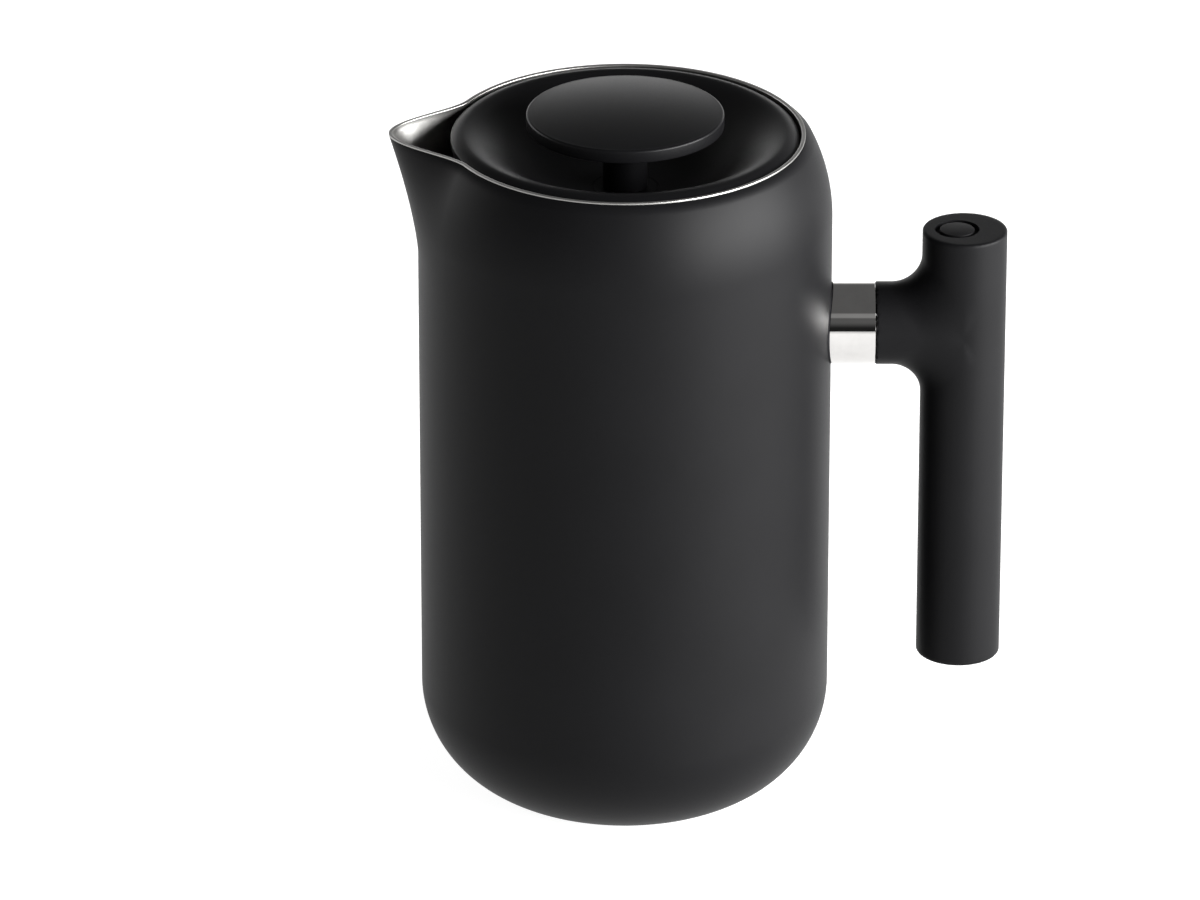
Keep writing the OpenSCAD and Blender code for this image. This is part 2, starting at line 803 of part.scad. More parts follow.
module filter_hub() {
    color("#c9c9c6")
    difference() {
        translate([0, 0, hub_z]) {
            cylinder(h = hub_h / 3, r = hub_r);
            translate([0, 0, hub_h / 3]) cylinder(h = 2 * hub_h / 3, r1 = hub_r, r2 = rod_r + hub_wall);
        }
        cylinder(h = far, r = rod_r);
    }
}

module filter_top_plate() {
    color("#c9c9c6")
    difference() {
        translate([0, 0, top_plate_z]) {
            cylinder(h = plate_t, r = plate_r);
            tube(plate_r, plate_r - plate_t, edge_seal_h / 2 + plate_t);
        }
        cylinder(h = far, r = rod_r);
        around(plate_hole_n, plate_hole_circle_r) cylinder(h = far, r = plate_hole_r);
    }
}

module mesh_screen() {
    color("#b9b9b4")
    translate([0, 0, screen_z]) tube(screen_r, rod_r, screen_t);
}

module filter_seal() {
    color("#2c2c2e")
    difference() {
        translate([0, 0, filter_h - seal_lap]) tube(seal_r, plate_r, edge_seal_h);
        translate([0, 0, screen_z]) cylinder(h = screen_t, r = screen_r);
    }
}

module filter_bottom_plate() {
    color("#c9c9c6")
    difference() {
        translate([0, 0, filter_h]) tube(plate_r, rod_r, plate_t);
        for (ring = [1 : sieve_rings]) around(plate_hole_n * ring, sieve_pitch * ring)
            cylinder(h = far, r = sieve_hole_r);
    }
}

module filter_nut() {
    color("#a9abad")
    difference() {
        translate([0, 0, rod_low]) cylinder(h = nut_h, r = nut_r, $fn = 6);
        cylinder(h = far, r = rod_r);
    }
}

outer_shell();
inner_vessel();
base_plate();
vacuum_seal();
base_pad();
handle_stud();
stem_gasket();
stem_sleeve();
stem_spacer();
grip();
grip_insert();
grip_set_screw();
grip_core();
grip_top_cap();
grip_end_cap();
lid_gasket();
lid_cover();
lid_skirt();
strainer_band();
lid_underplate();
lid_screws();
rod_guide();
guide_clip();
knob_top();
knob_base();
knob_insert();
plunger_rod();
filter_hub();
filter_top_plate();
mesh_screen();
filter_seal();
filter_bottom_plate();
filter_nut();
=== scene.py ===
"""Looks of an insulated press for coffee: vessel, handle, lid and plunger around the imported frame."""
import logging
import math
from dataclasses import dataclass, field
from enum import Enum
from typing import Callable, Dict, Iterable, List, Optional, Sequence, Tuple

import bmesh
import bpy
import numpy as np
from mathutils import Matrix, Vector


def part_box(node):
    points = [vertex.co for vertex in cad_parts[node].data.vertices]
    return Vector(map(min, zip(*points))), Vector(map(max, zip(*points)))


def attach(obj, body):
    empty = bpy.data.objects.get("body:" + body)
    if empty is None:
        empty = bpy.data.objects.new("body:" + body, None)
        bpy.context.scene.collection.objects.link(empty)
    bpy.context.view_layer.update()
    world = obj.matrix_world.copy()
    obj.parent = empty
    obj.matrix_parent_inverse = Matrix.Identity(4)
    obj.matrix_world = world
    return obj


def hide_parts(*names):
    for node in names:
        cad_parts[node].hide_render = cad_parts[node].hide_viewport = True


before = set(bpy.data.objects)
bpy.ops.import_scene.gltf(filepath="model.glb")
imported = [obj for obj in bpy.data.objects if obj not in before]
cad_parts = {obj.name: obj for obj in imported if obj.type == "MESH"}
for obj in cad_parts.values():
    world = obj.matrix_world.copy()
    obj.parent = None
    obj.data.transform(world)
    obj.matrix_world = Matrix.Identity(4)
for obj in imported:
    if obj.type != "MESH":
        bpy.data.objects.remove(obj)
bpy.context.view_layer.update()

LOG = logging.getLogger("press")
MM = 0.001
Point = Tuple[float, float]
Colour = Tuple[float, float, float]


class Body(Enum):
    """The bodies of the press that carry a piece made here."""

    VESSEL = "vessel"
    LID = "lid"
    PLUNGER = "plunger"


# ---------------------------------------------------------------- node trees


def _maths(operation: str) -> Callable[..., "Value"]:
    """A method of Value that adds one Math node."""

    def method(self: "Value", *others: object) -> "Value":
        """The node's result for this value and the others."""
        return self.math(operation, *others)

    return method


class Value:
    """A number carried by a socket; Python's operators add Math nodes."""

    def __init__(self, tree: "Tree", socket: bpy.types.NodeSocket) -> None:
        """Wraps a socket.

        Args:
            tree: The tree that the socket belongs to.
            socket: An output socket.
        """
        self.tree = tree
        self.socket = socket

    def math(self, operation: str, *others: object) -> "Value":
        """Returns the result of a Math node fed with this value and others."""
        inputs = dict(enumerate((self, *others)))
        return self.tree.value("ShaderNodeMath", {"operation": operation}, inputs)

    __add__ = __radd__ = _maths("ADD")
    __sub__ = _maths("SUBTRACT")
    __mul__ = __rmul__ = _maths("MULTIPLY")
    __truediv__ = _maths("DIVIDE")
    __pow__ = _maths("POWER")
    __abs__ = _maths("ABSOLUTE")
    __gt__ = _maths("GREATER_THAN")
    sqrt = _maths("SQRT")
    sin = _maths("SINE")
    cos = _maths("COSINE")
    at_least = _maths("MAXIMUM")
    angle_from = _maths("ARCTAN2")

    def __rsub__(self, other: object) -> "Value":
        """Difference, reflected."""
        return (self * -1.0) + other

    def __neg__(self) -> "Value":
        """Negative."""
        return self * -1.0

    def rise(self, start: float, end: float) -> "Value":
        """Smooth step from 0 at start to 1 at end."""
        return self.tree.value(
            "ShaderNodeMapRange",
            {"interpolation_type": "SMOOTHSTEP"},
            {"Value": self, "From Min": start, "From Max": end, "To Min": 0.0, "To Max": 1.0},
        )


class Tree:
    """A node tree whose nodes are all made by one method."""

    def __init__(self, tree: bpy.types.NodeTree) -> None:
        """Wraps a tree and empties it."""
        self.tree = tree
        tree.nodes.clear()

    def node(
        self,
        kind: str,
        settings: Optional[Dict[str, object]] = None,
        inputs: Optional[Dict[object, object]] = None,
    ) -> bpy.types.Node:
        """Adds a node.

        Args:
            kind: The node's type.
            settings: Its properties, set first.
            inputs: Values or links of its sockets, by name or index.

        Returns:
            The node.
        """
        made = self.tree.nodes.new(kind)
        for key, setting in (settings or {}).items():
            setattr(made, key, setting)
        for key, value in (inputs or {}).items():
            self.feed(made.inputs[key], value)
        return made

    def feed(self, socket: bpy.types.NodeSocket, value: object) -> None:
        """Links a Value to a socket, or sets the socket's own value."""
        if isinstance(value, Value):
            self.tree.links.new(value.socket, socket)
        else:
            socket.default_value = value

    def value(
        self,
        kind: str,
        settings: Optional[Dict[str, object]] = None,
        inputs: Optional[Dict[object, object]] = None,
        output: object = 0,
    ) -> Value:
        """Adds a node and returns one of its outputs."""
        return Value(self, self.node(kind, settings, inputs).outputs[output])

    def geo(
        self,
        kind: str,
        inputs: Dict[object, object],
        settings: Optional[Dict[str, object]] = None,
    ) -> Value:
        """Adds a geometry node by its short name and returns its first output."""
        return self.value("GeometryNode" + kind, settings, inputs)

    def position(self) -> Tuple[Value, Value, Value]:
        """The place of each point."""
        return self.split(self.geo("InputPosition", {}))

    def moved(self, geometry: Value, place: Value, **chosen: Value) -> Value:
        """Geometry whose points, or the chosen ones, go to a place."""
        return self.geo("SetPosition", {"Geometry": geometry, "Position": place, **chosen})

    def split(self, vector: Value) -> Tuple[Value, Value, Value]:
        """The three parts of a vector."""
        made = self.node("ShaderNodeSeparateXYZ", inputs={0: vector})
        return tuple(Value(self, made.outputs[i]) for i in range(3))

    def join(self, x: object, y: object, z: object) -> Value:
        """A vector of three numbers."""
        return self.value("ShaderNodeCombineXYZ", inputs={0: x, 1: y, 2: z})

    def mix(self, factor: object, low: Colour, high: Colour) -> Value:
        """A colour between two others."""
        return self.value(
            "ShaderNodeMix",
            {"data_type": "RGBA"},
            {0: factor, 6: _rgba(low), 7: _rgba(high)},
            2,
        )

    def noise(self, vector: Value, size: float, detail: float = 2.0, rough: float = 0.5) -> Value:
        """Noise with features of one size, in metres."""
        inputs = {"Vector": vector, "Scale": 1.0 / size, "Detail": detail, "Roughness": rough}
        return self.value("ShaderNodeTexNoise", inputs=inputs)

    def speckle(self, vector: Value, size: float) -> Value:
        """Distance to the nearest of scattered points of one size, in metres."""
        inputs = {"Vector": vector, "Scale": 1.0 / size}
        return self.value("ShaderNodeTexVoronoi", inputs=inputs)


def _rgba(colour: object) -> object:
    """A colour with an alpha of 1; a Value stays as it is."""
    return colour if isinstance(colour, Value) else (*colour, 1.0)


# ---------------------------------------------------------------- finishes


Dress = Tuple[Dict[str, object], Value, float]


@dataclass(frozen=True)
class Finish:
    """A surface finish, built once as a material."""

    name: str
    slot: str
    colour: Colour = (0.02, 0.02, 0.021)
    roughness: float = 0.5

    def material(self) -> bpy.types.Material:
        """The material, made on first use."""
        known = bpy.data.materials.get(self.name)
        if known:
            return known
        made = bpy.data.materials.new(self.name)
        made.use_nodes = True
        tree = Tree(made.node_tree)
        shader = tree.node("ShaderNodeBsdfPrincipled")
        tree.node("ShaderNodeOutputMaterial", inputs={0: Value(tree, shader.outputs[0])})
        place = tree.value("ShaderNodeTexCoord", output="Object")
        sockets, height, depth = self.dress(tree, place)
        bump = {"Strength": 1.0, "Distance": depth, "Height": height}
        sockets["Normal"] = tree.value("ShaderNodeBump", inputs=bump)
        for name, value in sockets.items():
            tree.feed(shader.inputs[name], value)
        made.diffuse_color = (*self.colour, 1.0)
        return made

    def dress(self, tree: Tree, place: Value) -> Dress:
        """The shader's sockets, the relief's height from 0 to 1, and its depth in metres."""
        raise NotImplementedError


@dataclass(frozen=True)
class PowderCoat(Finish):
    """Fine matt powder coat: dense grain over a faint orange peel."""

    grain: float = 0.28 * MM
    peel: float = 2.2 * MM
    relief: float = 0.012 * MM
    lift: float = 1.35
    specular: float = 0.5

    def dress(self, tree: Tree, place: Value) -> Dress:
        """Grain in the relief and the gloss, slow drift in the colour."""
        grain = tree.noise(place, self.grain, 3.0, 0.6)
        peel = tree.noise(place, self.peel, 1.0)
        drift = tree.noise(place, 28 * MM, 2.0)
        dust = tree.speckle(place, 1.7 * MM).rise(0.10, 0.02)
        shade = (drift * 0.6 + grain * 0.4).rise(0.25, 0.8)
        light = tuple(min(1.0, c * self.lift) for c in self.colour)
        sockets = {
            "Base Color": tree.mix(shade, self.colour, light),
            "Roughness": (grain - 0.5) * 0.16 + (drift - 0.5) * 0.05 + dust * 0.04 + self.roughness,
            "Specular IOR Level": self.specular,
        }
        return sockets, grain * 0.7 + peel * 0.3, self.relief


@dataclass(frozen=True)
class TurnedSteel(Finish):
    """Satin steel with fine rings round the object's own axis and soft handling marks."""

    ring: float = 0.12 * MM
    relief: float = 0.004 * MM
    streak: float = 0.10
    centre: Tuple[float, float, float] = (0.0, 0.0, 0.0)

    def dress(self, tree: Tree, place: Value) -> Dress:
        """Rings drawn out along the turning direction."""
        x, y, z = tree.split(place)
        x, y, z = x - self.centre[0], y - self.centre[1], z - self.centre[2]
        radius = (x * x + y * y).sqrt()
        turn = (-y).angle_from(-x) * (2.5 * MM)
        lines = tree.noise(tree.join(radius, turn, z), self.ring, 3.0, 0.65)
        bands = tree.noise(tree.join(radius, turn * 0.3, z), self.ring * 9.0, 2.0)
        marks = tree.noise(place, 6 * MM, 4.0, 0.6)
        dark = tuple(c * 0.82 for c in self.colour)
        sockets = {
            "Base Color": tree.mix((lines * 0.5 + bands * 0.5).rise(0.3, 0.75), dark, self.colour),
            "Metallic": 1.0,
            "Roughness": (lines - 0.5) * self.streak + (marks - 0.5) * 0.12 + self.roughness,
        }
        return sockets, lines * 0.7 + bands * 0.3, self.relief


@dataclass(frozen=True)
class Polished(Finish):
    """Mirror-polished metal with a trace of wiping marks."""

    def dress(self, tree: Tree, place: Value) -> Dress:
        """Smears in the gloss and hair-fine scratches."""
        x, y, z = tree.split(place)
        smear = tree.noise(place, 5 * MM, 3.0, 0.55)
        hair = tree.noise(tree.join(x * 0.06, y, z), 0.10 * MM, 2.0)
        tint = tuple(c * 0.93 for c in self.colour)
        sockets = {
            "Base Color": tree.mix(smear.rise(0.3, 0.7), self.colour, tint),
            "Metallic": 1.0,
            "Roughness": smear.rise(0.45, 0.75) * 0.05 + hair.rise(0.55, 0.8) * 0.03 + self.roughness,
        }
        return sockets, hair, 0.0004 * MM


@dataclass(frozen=True)
class Silicone(Finish):
    """Matt silicone with a bloom and a very fine moulded skin."""

    def dress(self, tree: Tree, place: Value) -> Dress:
        """Bloom in the colour, skin in the relief."""
        skin = tree.noise(place, 0.35 * MM, 2.0)
        bloom = tree.noise(place, 7 * MM, 3.0)
        light = tuple(min(1.0, c * 1.5) for c in self.colour)
        sockets = {
            "Base Color": tree.mix(bloom.rise(0.3, 0.8), self.colour, light),
            "Roughness": (skin - 0.5) * 0.12 + self.roughness,
            "Specular IOR Level": 0.16,
        }
        return sockets, skin, 0.01 * MM


COAT = PowderCoat("coat_black", "matte_coating", (0.0027, 0.0027, 0.0030), 0.48, specular=0.072)
GRIP_PLASTIC = PowderCoat(
    "grip_black", "grip_plastic", (0.0030, 0.0030, 0.0033), 0.50, grain=0.32 * MM, specular=0.075
)
KNOB_PLASTIC = PowderCoat(
    "knob_black", "knob_plastic", (0.0025, 0.0025, 0.0028), 0.36, grain=0.30 * MM, specular=0.09
)
LID_PLASTIC = PowderCoat(
    "lid_black", "lid_plastic", (0.0028, 0.0028, 0.0031), 0.42,
    grain=0.36 * MM, relief=0.008 * MM, specular=0.08,
)
LINER = TurnedSteel("liner_satin", "satin_steel", (0.36, 0.355, 0.345), 0.36)
PLATE_STEEL = TurnedSteel("plate_satin", "satin_steel", (0.66, 0.65, 0.62), 0.27)
PLAIN_STEEL = TurnedSteel("steel_plain", "plain_steel", (0.5, 0.5, 0.5), 0.38, ring=0.3 * MM)
FASTENER = TurnedSteel("steel_fastener", "fastener_steel", (0.45, 0.45, 0.46), 0.32)
WIRE = TurnedSteel("wire_steel", "woven_screen", (0.6, 0.59, 0.56), 0.30, ring=0.2 * MM)
ROD = Polished("rod_polished", "polished_rod", (0.72, 0.71, 0.69), 0.12)
CHROME = Polished("chrome_mirror", "polished_chrome", (0.56, 0.55, 0.54), 0.035)
BRASS = TurnedSteel("brass_turned", "insert_brass", (0.78, 0.58, 0.26), 0.28)
NYLON = Silicone("nylon_natural", "natural_nylon", (0.66, 0.63, 0.55), 0.45)
SILICONE_BLACK = Silicone("silicone_black", "silicone_black", (0.007, 0.007, 0.0075), 0.6)
SILICONE_GREY = Silicone("silicone_grey", "silicone_grey", (0.045, 0.045, 0.047), 0.62)


# ---------------------------------------------------------------- meshes


def arc(centre: Point, radius: float, start: float, end: float, steps: int) -> List[Point]:
    """Points along an arc.

    Args:
        centre: The arc's centre in the outline's plane.
        radius: Its radius.
        start: Its first angle in degrees.
        end: Its last angle in degrees.
        steps: The number of steps.

    Returns:
        steps + 1 points.
    """
    turns = [math.radians(start + (end - start) * i / steps) for i in range(steps + 1)]
    return [(centre[0] + radius * math.cos(t), centre[1] + radius * math.sin(t)) for t in turns]


def straight(r: float, start: float, span: float, steps: int, chosen: range) -> List[Point]:
    """The chosen points of a straight run of an outline at one radius."""
    return [(r, start + span * i / steps) for i in chosen]


def rounded(outline: Sequence[Point], radius: float, steps: int = 3) -> List[Point]:
    """Rounds the corners of an open outline, where its straight runs leave room."""
    out = [outline[0]]
    for before, here, after in zip(outline, outline[1:], outline[2:]):
        a, c, b = (Vector(p) for p in (before, here, after))
        u, v = (a - c), (b - c)
        cut = min(radius, u.length * 0.45, v.length * 0.45)
        if u.length < 1e-9 or v.length < 1e-9 or u.angle(v) > math.radians(165):
            out.append(here)
            continue
        p, q = c + u.normalized() * cut, c + v.normalized() * cut
        for i in range(steps + 1):
            t = i / steps
            out.append(tuple(p * (1 - t) ** 2 + c * (2 * t * (1 - t)) + q * t * t))
    out.append(outline[-1])
    return out


def finish_mesh(mesh: bpy.types.Mesh, sharp: float = 38.0) -> bpy.types.Mesh:
    """Turns faces outwards and shades smooth, with edges past an angle in degrees kept sharp."""
    work = bmesh.new()
    work.from_mesh(mesh)
    bmesh.ops.remove_doubles(work, verts=work.verts, dist=1e-7)
    bmesh.ops.dissolve_degenerate(work, dist=1e-8, edges=work.edges)
    bmesh.ops.recalc_face_normals(work, faces=work.faces)
    work.to_mesh(mesh)
    work.free()
    mesh.shade_smooth()
    mesh.set_sharp_from_angle(angle=math.radians(sharp))
    return mesh


def added(name: str, data: bpy.types.ID) -> bpy.types.Object:
    """A new object in the scene."""
    made = bpy.data.objects.new(name, data)
    bpy.context.scene.collection.objects.link(made)
    return made


def as_mesh(work: bmesh.types.BMesh, name: str) -> bpy.types.Mesh:
    """Turns a work mesh into a plain one and frees it."""
    mesh = bpy.data.meshes.new(name)
    work.to_mesh(mesh)
    work.free()
    return mesh


def evaluated(piece: bpy.types.Object) -> bpy.types.Mesh:
    """The piece's mesh with its modifiers applied."""
    graph = bpy.context.evaluated_depsgraph_get()
    return bpy.data.meshes.new_from_object(piece.evaluated_get(graph), depsgraph=graph)


def add_bar(
    work: bmesh.types.BMesh, r: float, depth: float, place: Matrix, segments: int = 96
) -> None:
    """Adds a round bar to a work mesh."""
    bmesh.ops.create_cone(
        work, cap_ends=True, segments=segments, radius1=r, radius2=r, depth=depth, matrix=place
    )


def placed(name: str, mesh: bpy.types.Mesh, finish: Finish) -> bpy.types.Object:
    """An object at the origin with one finish."""
    mesh.materials.clear()
    mesh.materials.append(finish.material())
    return added(name, mesh)


@dataclass
class Lathe:
    """A solid of revolution round an upright axis, from a half outline in metres.

    An outline that starts and ends on the axis closes itself; any other is closed back to its start.
    """

    outline: Sequence[Point]
    steps: int = 160
    angles: Optional[Sequence[float]] = None
    centre: Point = (0.0, 0.0)

    def mesh(self, name: str, tips: Optional[Sequence[float]] = None) -> bpy.types.Mesh:
        """Builds the mesh.

        Args:
            name: The mesh's name.
            tips: For each point of the outline, the radius that the spout's tip has there.

        Returns:
            A closed mesh, with the tips as the attribute tip_r if they are given.
        """
        angles = self.angles or [2 * math.pi * i / self.steps for i in range(self.steps)]
        work = bmesh.new()
        tip_layer = work.verts.layers.float.new("tip_r") if tips else None
        rings = []
        for i, (r, z) in enumerate(self.outline):
            turns = angles if r > 1e-7 else [0.0]
            ring = []
            for a in turns:
                x, y = self.centre[0] - r * math.cos(a), self.centre[1] + r * math.sin(a)
                vert = work.verts.new((x, y, z))
                if tip_layer:
                    vert[tip_layer] = tips[i]
                ring.append(vert)
            rings.append(ring)
        on_axis = len(rings[0]) == 1 and len(rings[-1]) == 1
        pairs = list(zip(rings, rings[1:])) + ([] if on_axis else [(rings[-1], rings[0])])
        for upper, lower in pairs:
            self._band(work, upper, lower, len(angles))
        return finish_mesh(as_mesh(work, name))

    @staticmethod
    def _band(work: bmesh.types.BMesh, upper: list, lower: list, count: int) -> None:
        """Joins two rings, either of which may be a single point on the axis."""
        if len(upper) == 1 and len(lower) == 1:
            return
        for k in range(count):
            n = (k + 1) % count
            places = ((upper, n), (upper, k), (lower, k), (lower, n))
            corners = [ring[i % len(ring)] for ring, i in places]
            work.faces.new(list(dict.fromkeys(corners)))


@dataclass
class Recipe:
    """A Geometry Nodes tree with named inputs, run once on a mesh and turned into a plain mesh."""

    name: str
    inputs: Dict[str, float]
    build: Callable[[Tree, Dict[str, Value]], Value]

    def _group(self) -> bpy.types.NodeTree:
        """Builds the tree: its inputs, the builder's nodes, Realize Instances and Set Material."""
        group = bpy.data.node_groups.new(self.name, "GeometryNodeTree")
        tree = Tree(group)
        group.interface.new_socket("Geometry", in_out="INPUT", socket_type="NodeSocketGeometry")
        for label in self.inputs:
            group.interface.new_socket(label, in_out="INPUT", socket_type="NodeSocketFloat")
        group.interface.new_socket("Finish", in_out="INPUT", socket_type="NodeSocketMaterial")
        group.interface.new_socket("Geometry", in_out="OUTPUT", socket_type="NodeSocketGeometry")
        entry = tree.node("NodeGroupInput")
        given = {s.name: Value(tree, s) for s in entry.outputs if s.name}
        result = self.build(tree, given)
        whole = tree.geo("RealizeInstances", {0: result})
        dressed = tree.geo("SetMaterial", {"Geometry": whole, "Material": given["Finish"]})
        tree.node("NodeGroupOutput", inputs={0: dressed})
        return group

    def run(self, name: str, finish: Finish, base: Optional[bpy.types.Mesh] = None) -> bpy.types.Object:
        """Runs the tree.

        Args:
            name: The finished piece's name.
            finish: Its finish.
            base: The mesh that goes in, if any.

        Returns:
            The piece as a plain mesh.
        """
        source_name = name + "_source"
        source = added(source_name, base or bpy.data.meshes.new(source_name))
        modifier = source.modifiers.new(self.name, "NODES")
        modifier.node_group = self._group()
        values = {**self.inputs, "Finish": finish.material()}
        for item in modifier.node_group.interface.items_tree:
            if item.in_out == "INPUT" and item.name in values:
                modifier[item.identifier] = values[item.name]
        mesh = evaluated(source)
        source.modifiers.clear()
        bpy.data.objects.remove(source)
        mesh.name = name
        return placed(name, finish_mesh(mesh), finish)


# ---------------------------------------------------------------- recipes


def spout_recipe(half_angle: float, tip_angle: float, sharpness: float) -> Recipe:
    """Draws round walls out into a spout towards -X, as far as each point's tip_r says.

    Args:
        half_angle: Half of the angle that the spout takes, in radians.
        tip_angle: The angle over which its tip is rounded, in radians.
        sharpness: How pointed its plan is.

    Returns:
        The recipe.
    """

    def build(tree: Tree, given: Dict[str, Value]) -> Value:
        """Moves each point out along its own radius."""
        half, soft, sharp = given["Half angle"], given["Tip angle"], given["Sharpness"]
        x, y, z = tree.position()
        tip = tree.geo("InputNamedAttribute", {"Name": "tip_r"}, {"data_type": "FLOAT"})
        radius = (x * x + y * y).sqrt().at_least(1e-6)
        away = abs(y.angle_from(-x))
        spread = (half * half + soft * soft).sqrt() - soft
        share = (1.0 - ((away * away + soft * soft).sqrt() - soft) / spread).at_least(0.0) ** sharp
        scale = 1.0 + (tip / radius - 1.0) * share
        return tree.moved(given["Geometry"], tree.join(x * scale, y * scale, z))

    inputs = {"Half angle": half_angle, "Tip angle": tip_angle, "Sharpness": sharpness}
    return Recipe("spout", inputs, build)


def band_recipe(radius: float, low: float, high: float, wall: float, columns: int, rows: int) -> Recipe:
    """A round band of perforated sheet, with its wall inside the radius.

    Args:
        radius: Outer radius in metres.
        low: Height of its lower edge.
        high: Height of its upper edge.
        wall: Thickness of the sheet.
        columns: Holes round the band.
        rows: Holes up the band.

    Returns:
        The recipe.
    """
    corners = 16

    def build(tree: Tree, given: Dict[str, Value]) -> Value:
        """Tiles a holed square, bends the sheet round and gives it its wall."""
        around, high_cell, hole = given["Cell width"], given["Cell height"], given["Hole"]
        ring = tree.geo("MeshCircle", {"Vertices": corners, "Radius": hole}, {"fill_type": "NONE"})
        wide = tree.node("GeometryNodeExtrudeMesh", {"mode": "EDGES"}, {"Mesh": ring, "Offset Scale": 0.0})
        holed, edge = (Value(tree, wide.outputs[i]) for i in range(2))
        x, y, _ = tree.position()
        reach = abs(x).at_least(abs(y)).at_least(1e-7)
        square = tree.join(x / reach * (around / 2.0), y / reach * (high_cell / 2.0), 0.0)
        cell = tree.moved(holed, square, Selection=edge)
        grid = tree.geo("MeshGrid", {
            "Size X": around * (columns - 1.0),
            "Size Y": high_cell * (rows - 1.0),
            "Vertices X": columns,
            "Vertices Y": rows,
        })
        tiles = tree.geo("InstanceOnPoints", {"Points": grid, "Instance": cell})
        sheet = tree.geo("RealizeInstances", {0: tiles})
        u, v, _ = tree.position()
        turn = u / given["Radius"]
        middle = (given["Low"] + given["High"]) / 2.0
        bent = tree.join(turn.cos() * given["Radius"], turn.sin() * given["Radius"], v + middle)
        weld = {"Distance": 2e-5}
        welded = tree.geo("MergeByDistance", {"Geometry": tree.moved(sheet, bent), **weld})
        offset = {"Mesh": welded, "Offset Scale": given["Wall"] * -1.0, "Individual": False}
        walls = tree.geo("ExtrudeMesh", offset, {"mode": "FACES"})
        join = tree.node("GeometryNodeJoinGeometry", inputs={0: walls})
        tree.feed(join.inputs[0], welded)
        return tree.geo("MergeByDistance", {"Geometry": Value(tree, join.outputs[0]), **weld})

    cell_width = 2 * math.pi * radius / columns
    cell_height = (high - low) / rows
    inputs = {
        "Radius": radius,
        "Low": low,
        "High": high,
        "Wall": wall,
        "Cell width": cell_width,
        "Cell height": cell_height,
        "Hole": min(cell_width, cell_height) * 0.31,
    }
    return Recipe("perforated_band", inputs, build)


def screen_recipe(radius: float, middle: float, pitch: float, wire: float) -> Recipe:
    """A round woven screen: two sets of wires that pass over and under each other.

    Args:
        radius: Radius of the screen in metres.
        middle: Height of its middle.
        pitch: Distance from wire to wire.
        wire: Radius of a wire.

    Returns:
        The recipe.
    """
    wires = int(2 * radius / pitch) // 2 * 2 + 1
    stations = wires * 3

    def build(tree: Tree, given: Dict[str, Value]) -> Value:
        """Lays straight wires, trims them to the circle and weaves them."""
        span, gap, thin = given["Radius"], given["Pitch"], given["Wire"]
        x, y, _ = tree.position()
        wave = (x * math.pi / gap).cos() * (y * math.pi / gap).cos() * thin
        outside = (x * x + y * y).sqrt() > span
        profile = tree.geo("CurvePrimitiveCircle", {"Resolution": 4, "Radius": thin})
        join = tree.node("GeometryNodeJoinGeometry")
        half = gap * ((wires - 1) / 2.0)
        for across, side in ((False, 1.0), (True, -1.0)):
            ends = ((half * -1.0, 0.0), (half, 0.0))
            start, end = [tree.join(*(reversed(e) if across else e), 0.0) for e in ends]
            line = tree.geo("CurvePrimitiveLine", {"Start": start, "End": end})
            points = tree.geo("ResampleCurve", {"Curve": line, "Count": stations})
            first = tree.join(*((half * -1.0, 0.0) if across else (0.0, half * -1.0)), 0.0)
            step = tree.join(*((gap, 0.0) if across else (0.0, gap)), 0.0)
            row = tree.geo("MeshLine", {"Count": wires, "Start Location": first, "Offset": step})
            laid = tree.geo("InstanceOnPoints", {"Points": row, "Instance": points})
            real = tree.geo("RealizeInstances", {0: laid})
            trim = {"Geometry": real, "Selection": outside}
            inside = tree.geo("DeleteGeometry", trim, {"domain": "POINT"})
            woven = tree.moved(inside, tree.join(x, y, wave * side + given["Middle"]))
            solid = tree.geo("CurveToMesh", {"Curve": woven, "Profile Curve": profile, "Fill Caps": True})
            tree.feed(join.inputs[0], solid)
        return Value(tree, join.outputs[0])

    inputs = {
        "Radius": radius,
        "Middle": middle,
        "Pitch": pitch,
        "Wire": wire,
    }
    return Recipe("woven_screen", inputs, build)


# ---------------------------------------------------------------- parts of the press


def shell_radius() -> float:
    """Radius of the shell's side that stays inside the solid model's box on both axes."""
    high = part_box("outer_shell")[1]
    return min(high.x, high.y)


def settle(piece: bpy.types.Object, body: Body, node: str) -> None:
    """Hands a finished piece to the frame: its body and the node that it stands for."""
    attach(piece, body.value)
    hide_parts(node)
    LOG.info("%s: %d faces on %s", piece.name, len(piece.data.polygons), body.value)


def dress_node(name: str, finish: Finish, edge: float = 0.0) -> None:
    """Gives a node of the frame its finish, and breaks its sharp edges.

    Args:
        name: The node.
        finish: Its finish.
        edge: Width of the broken edge in metres; 0 leaves the edges as they are.
    """
    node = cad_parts[name]
    node.data.materials.clear()
    node.data.materials.append(finish.material())
    if edge:
        weld = node.modifiers.new("weld", "WELD")
        weld.merge_threshold = 1e-6
        bevel = node.modifiers.new("broken_edge", "BEVEL")
        bevel.width = edge
        bevel.segments = 2
        bevel.limit_method = "ANGLE"
        bevel.angle_limit = math.radians(40)
        bevel.harden_normals = True
    LOG.info("%s: dressed as %s", name, finish.name)


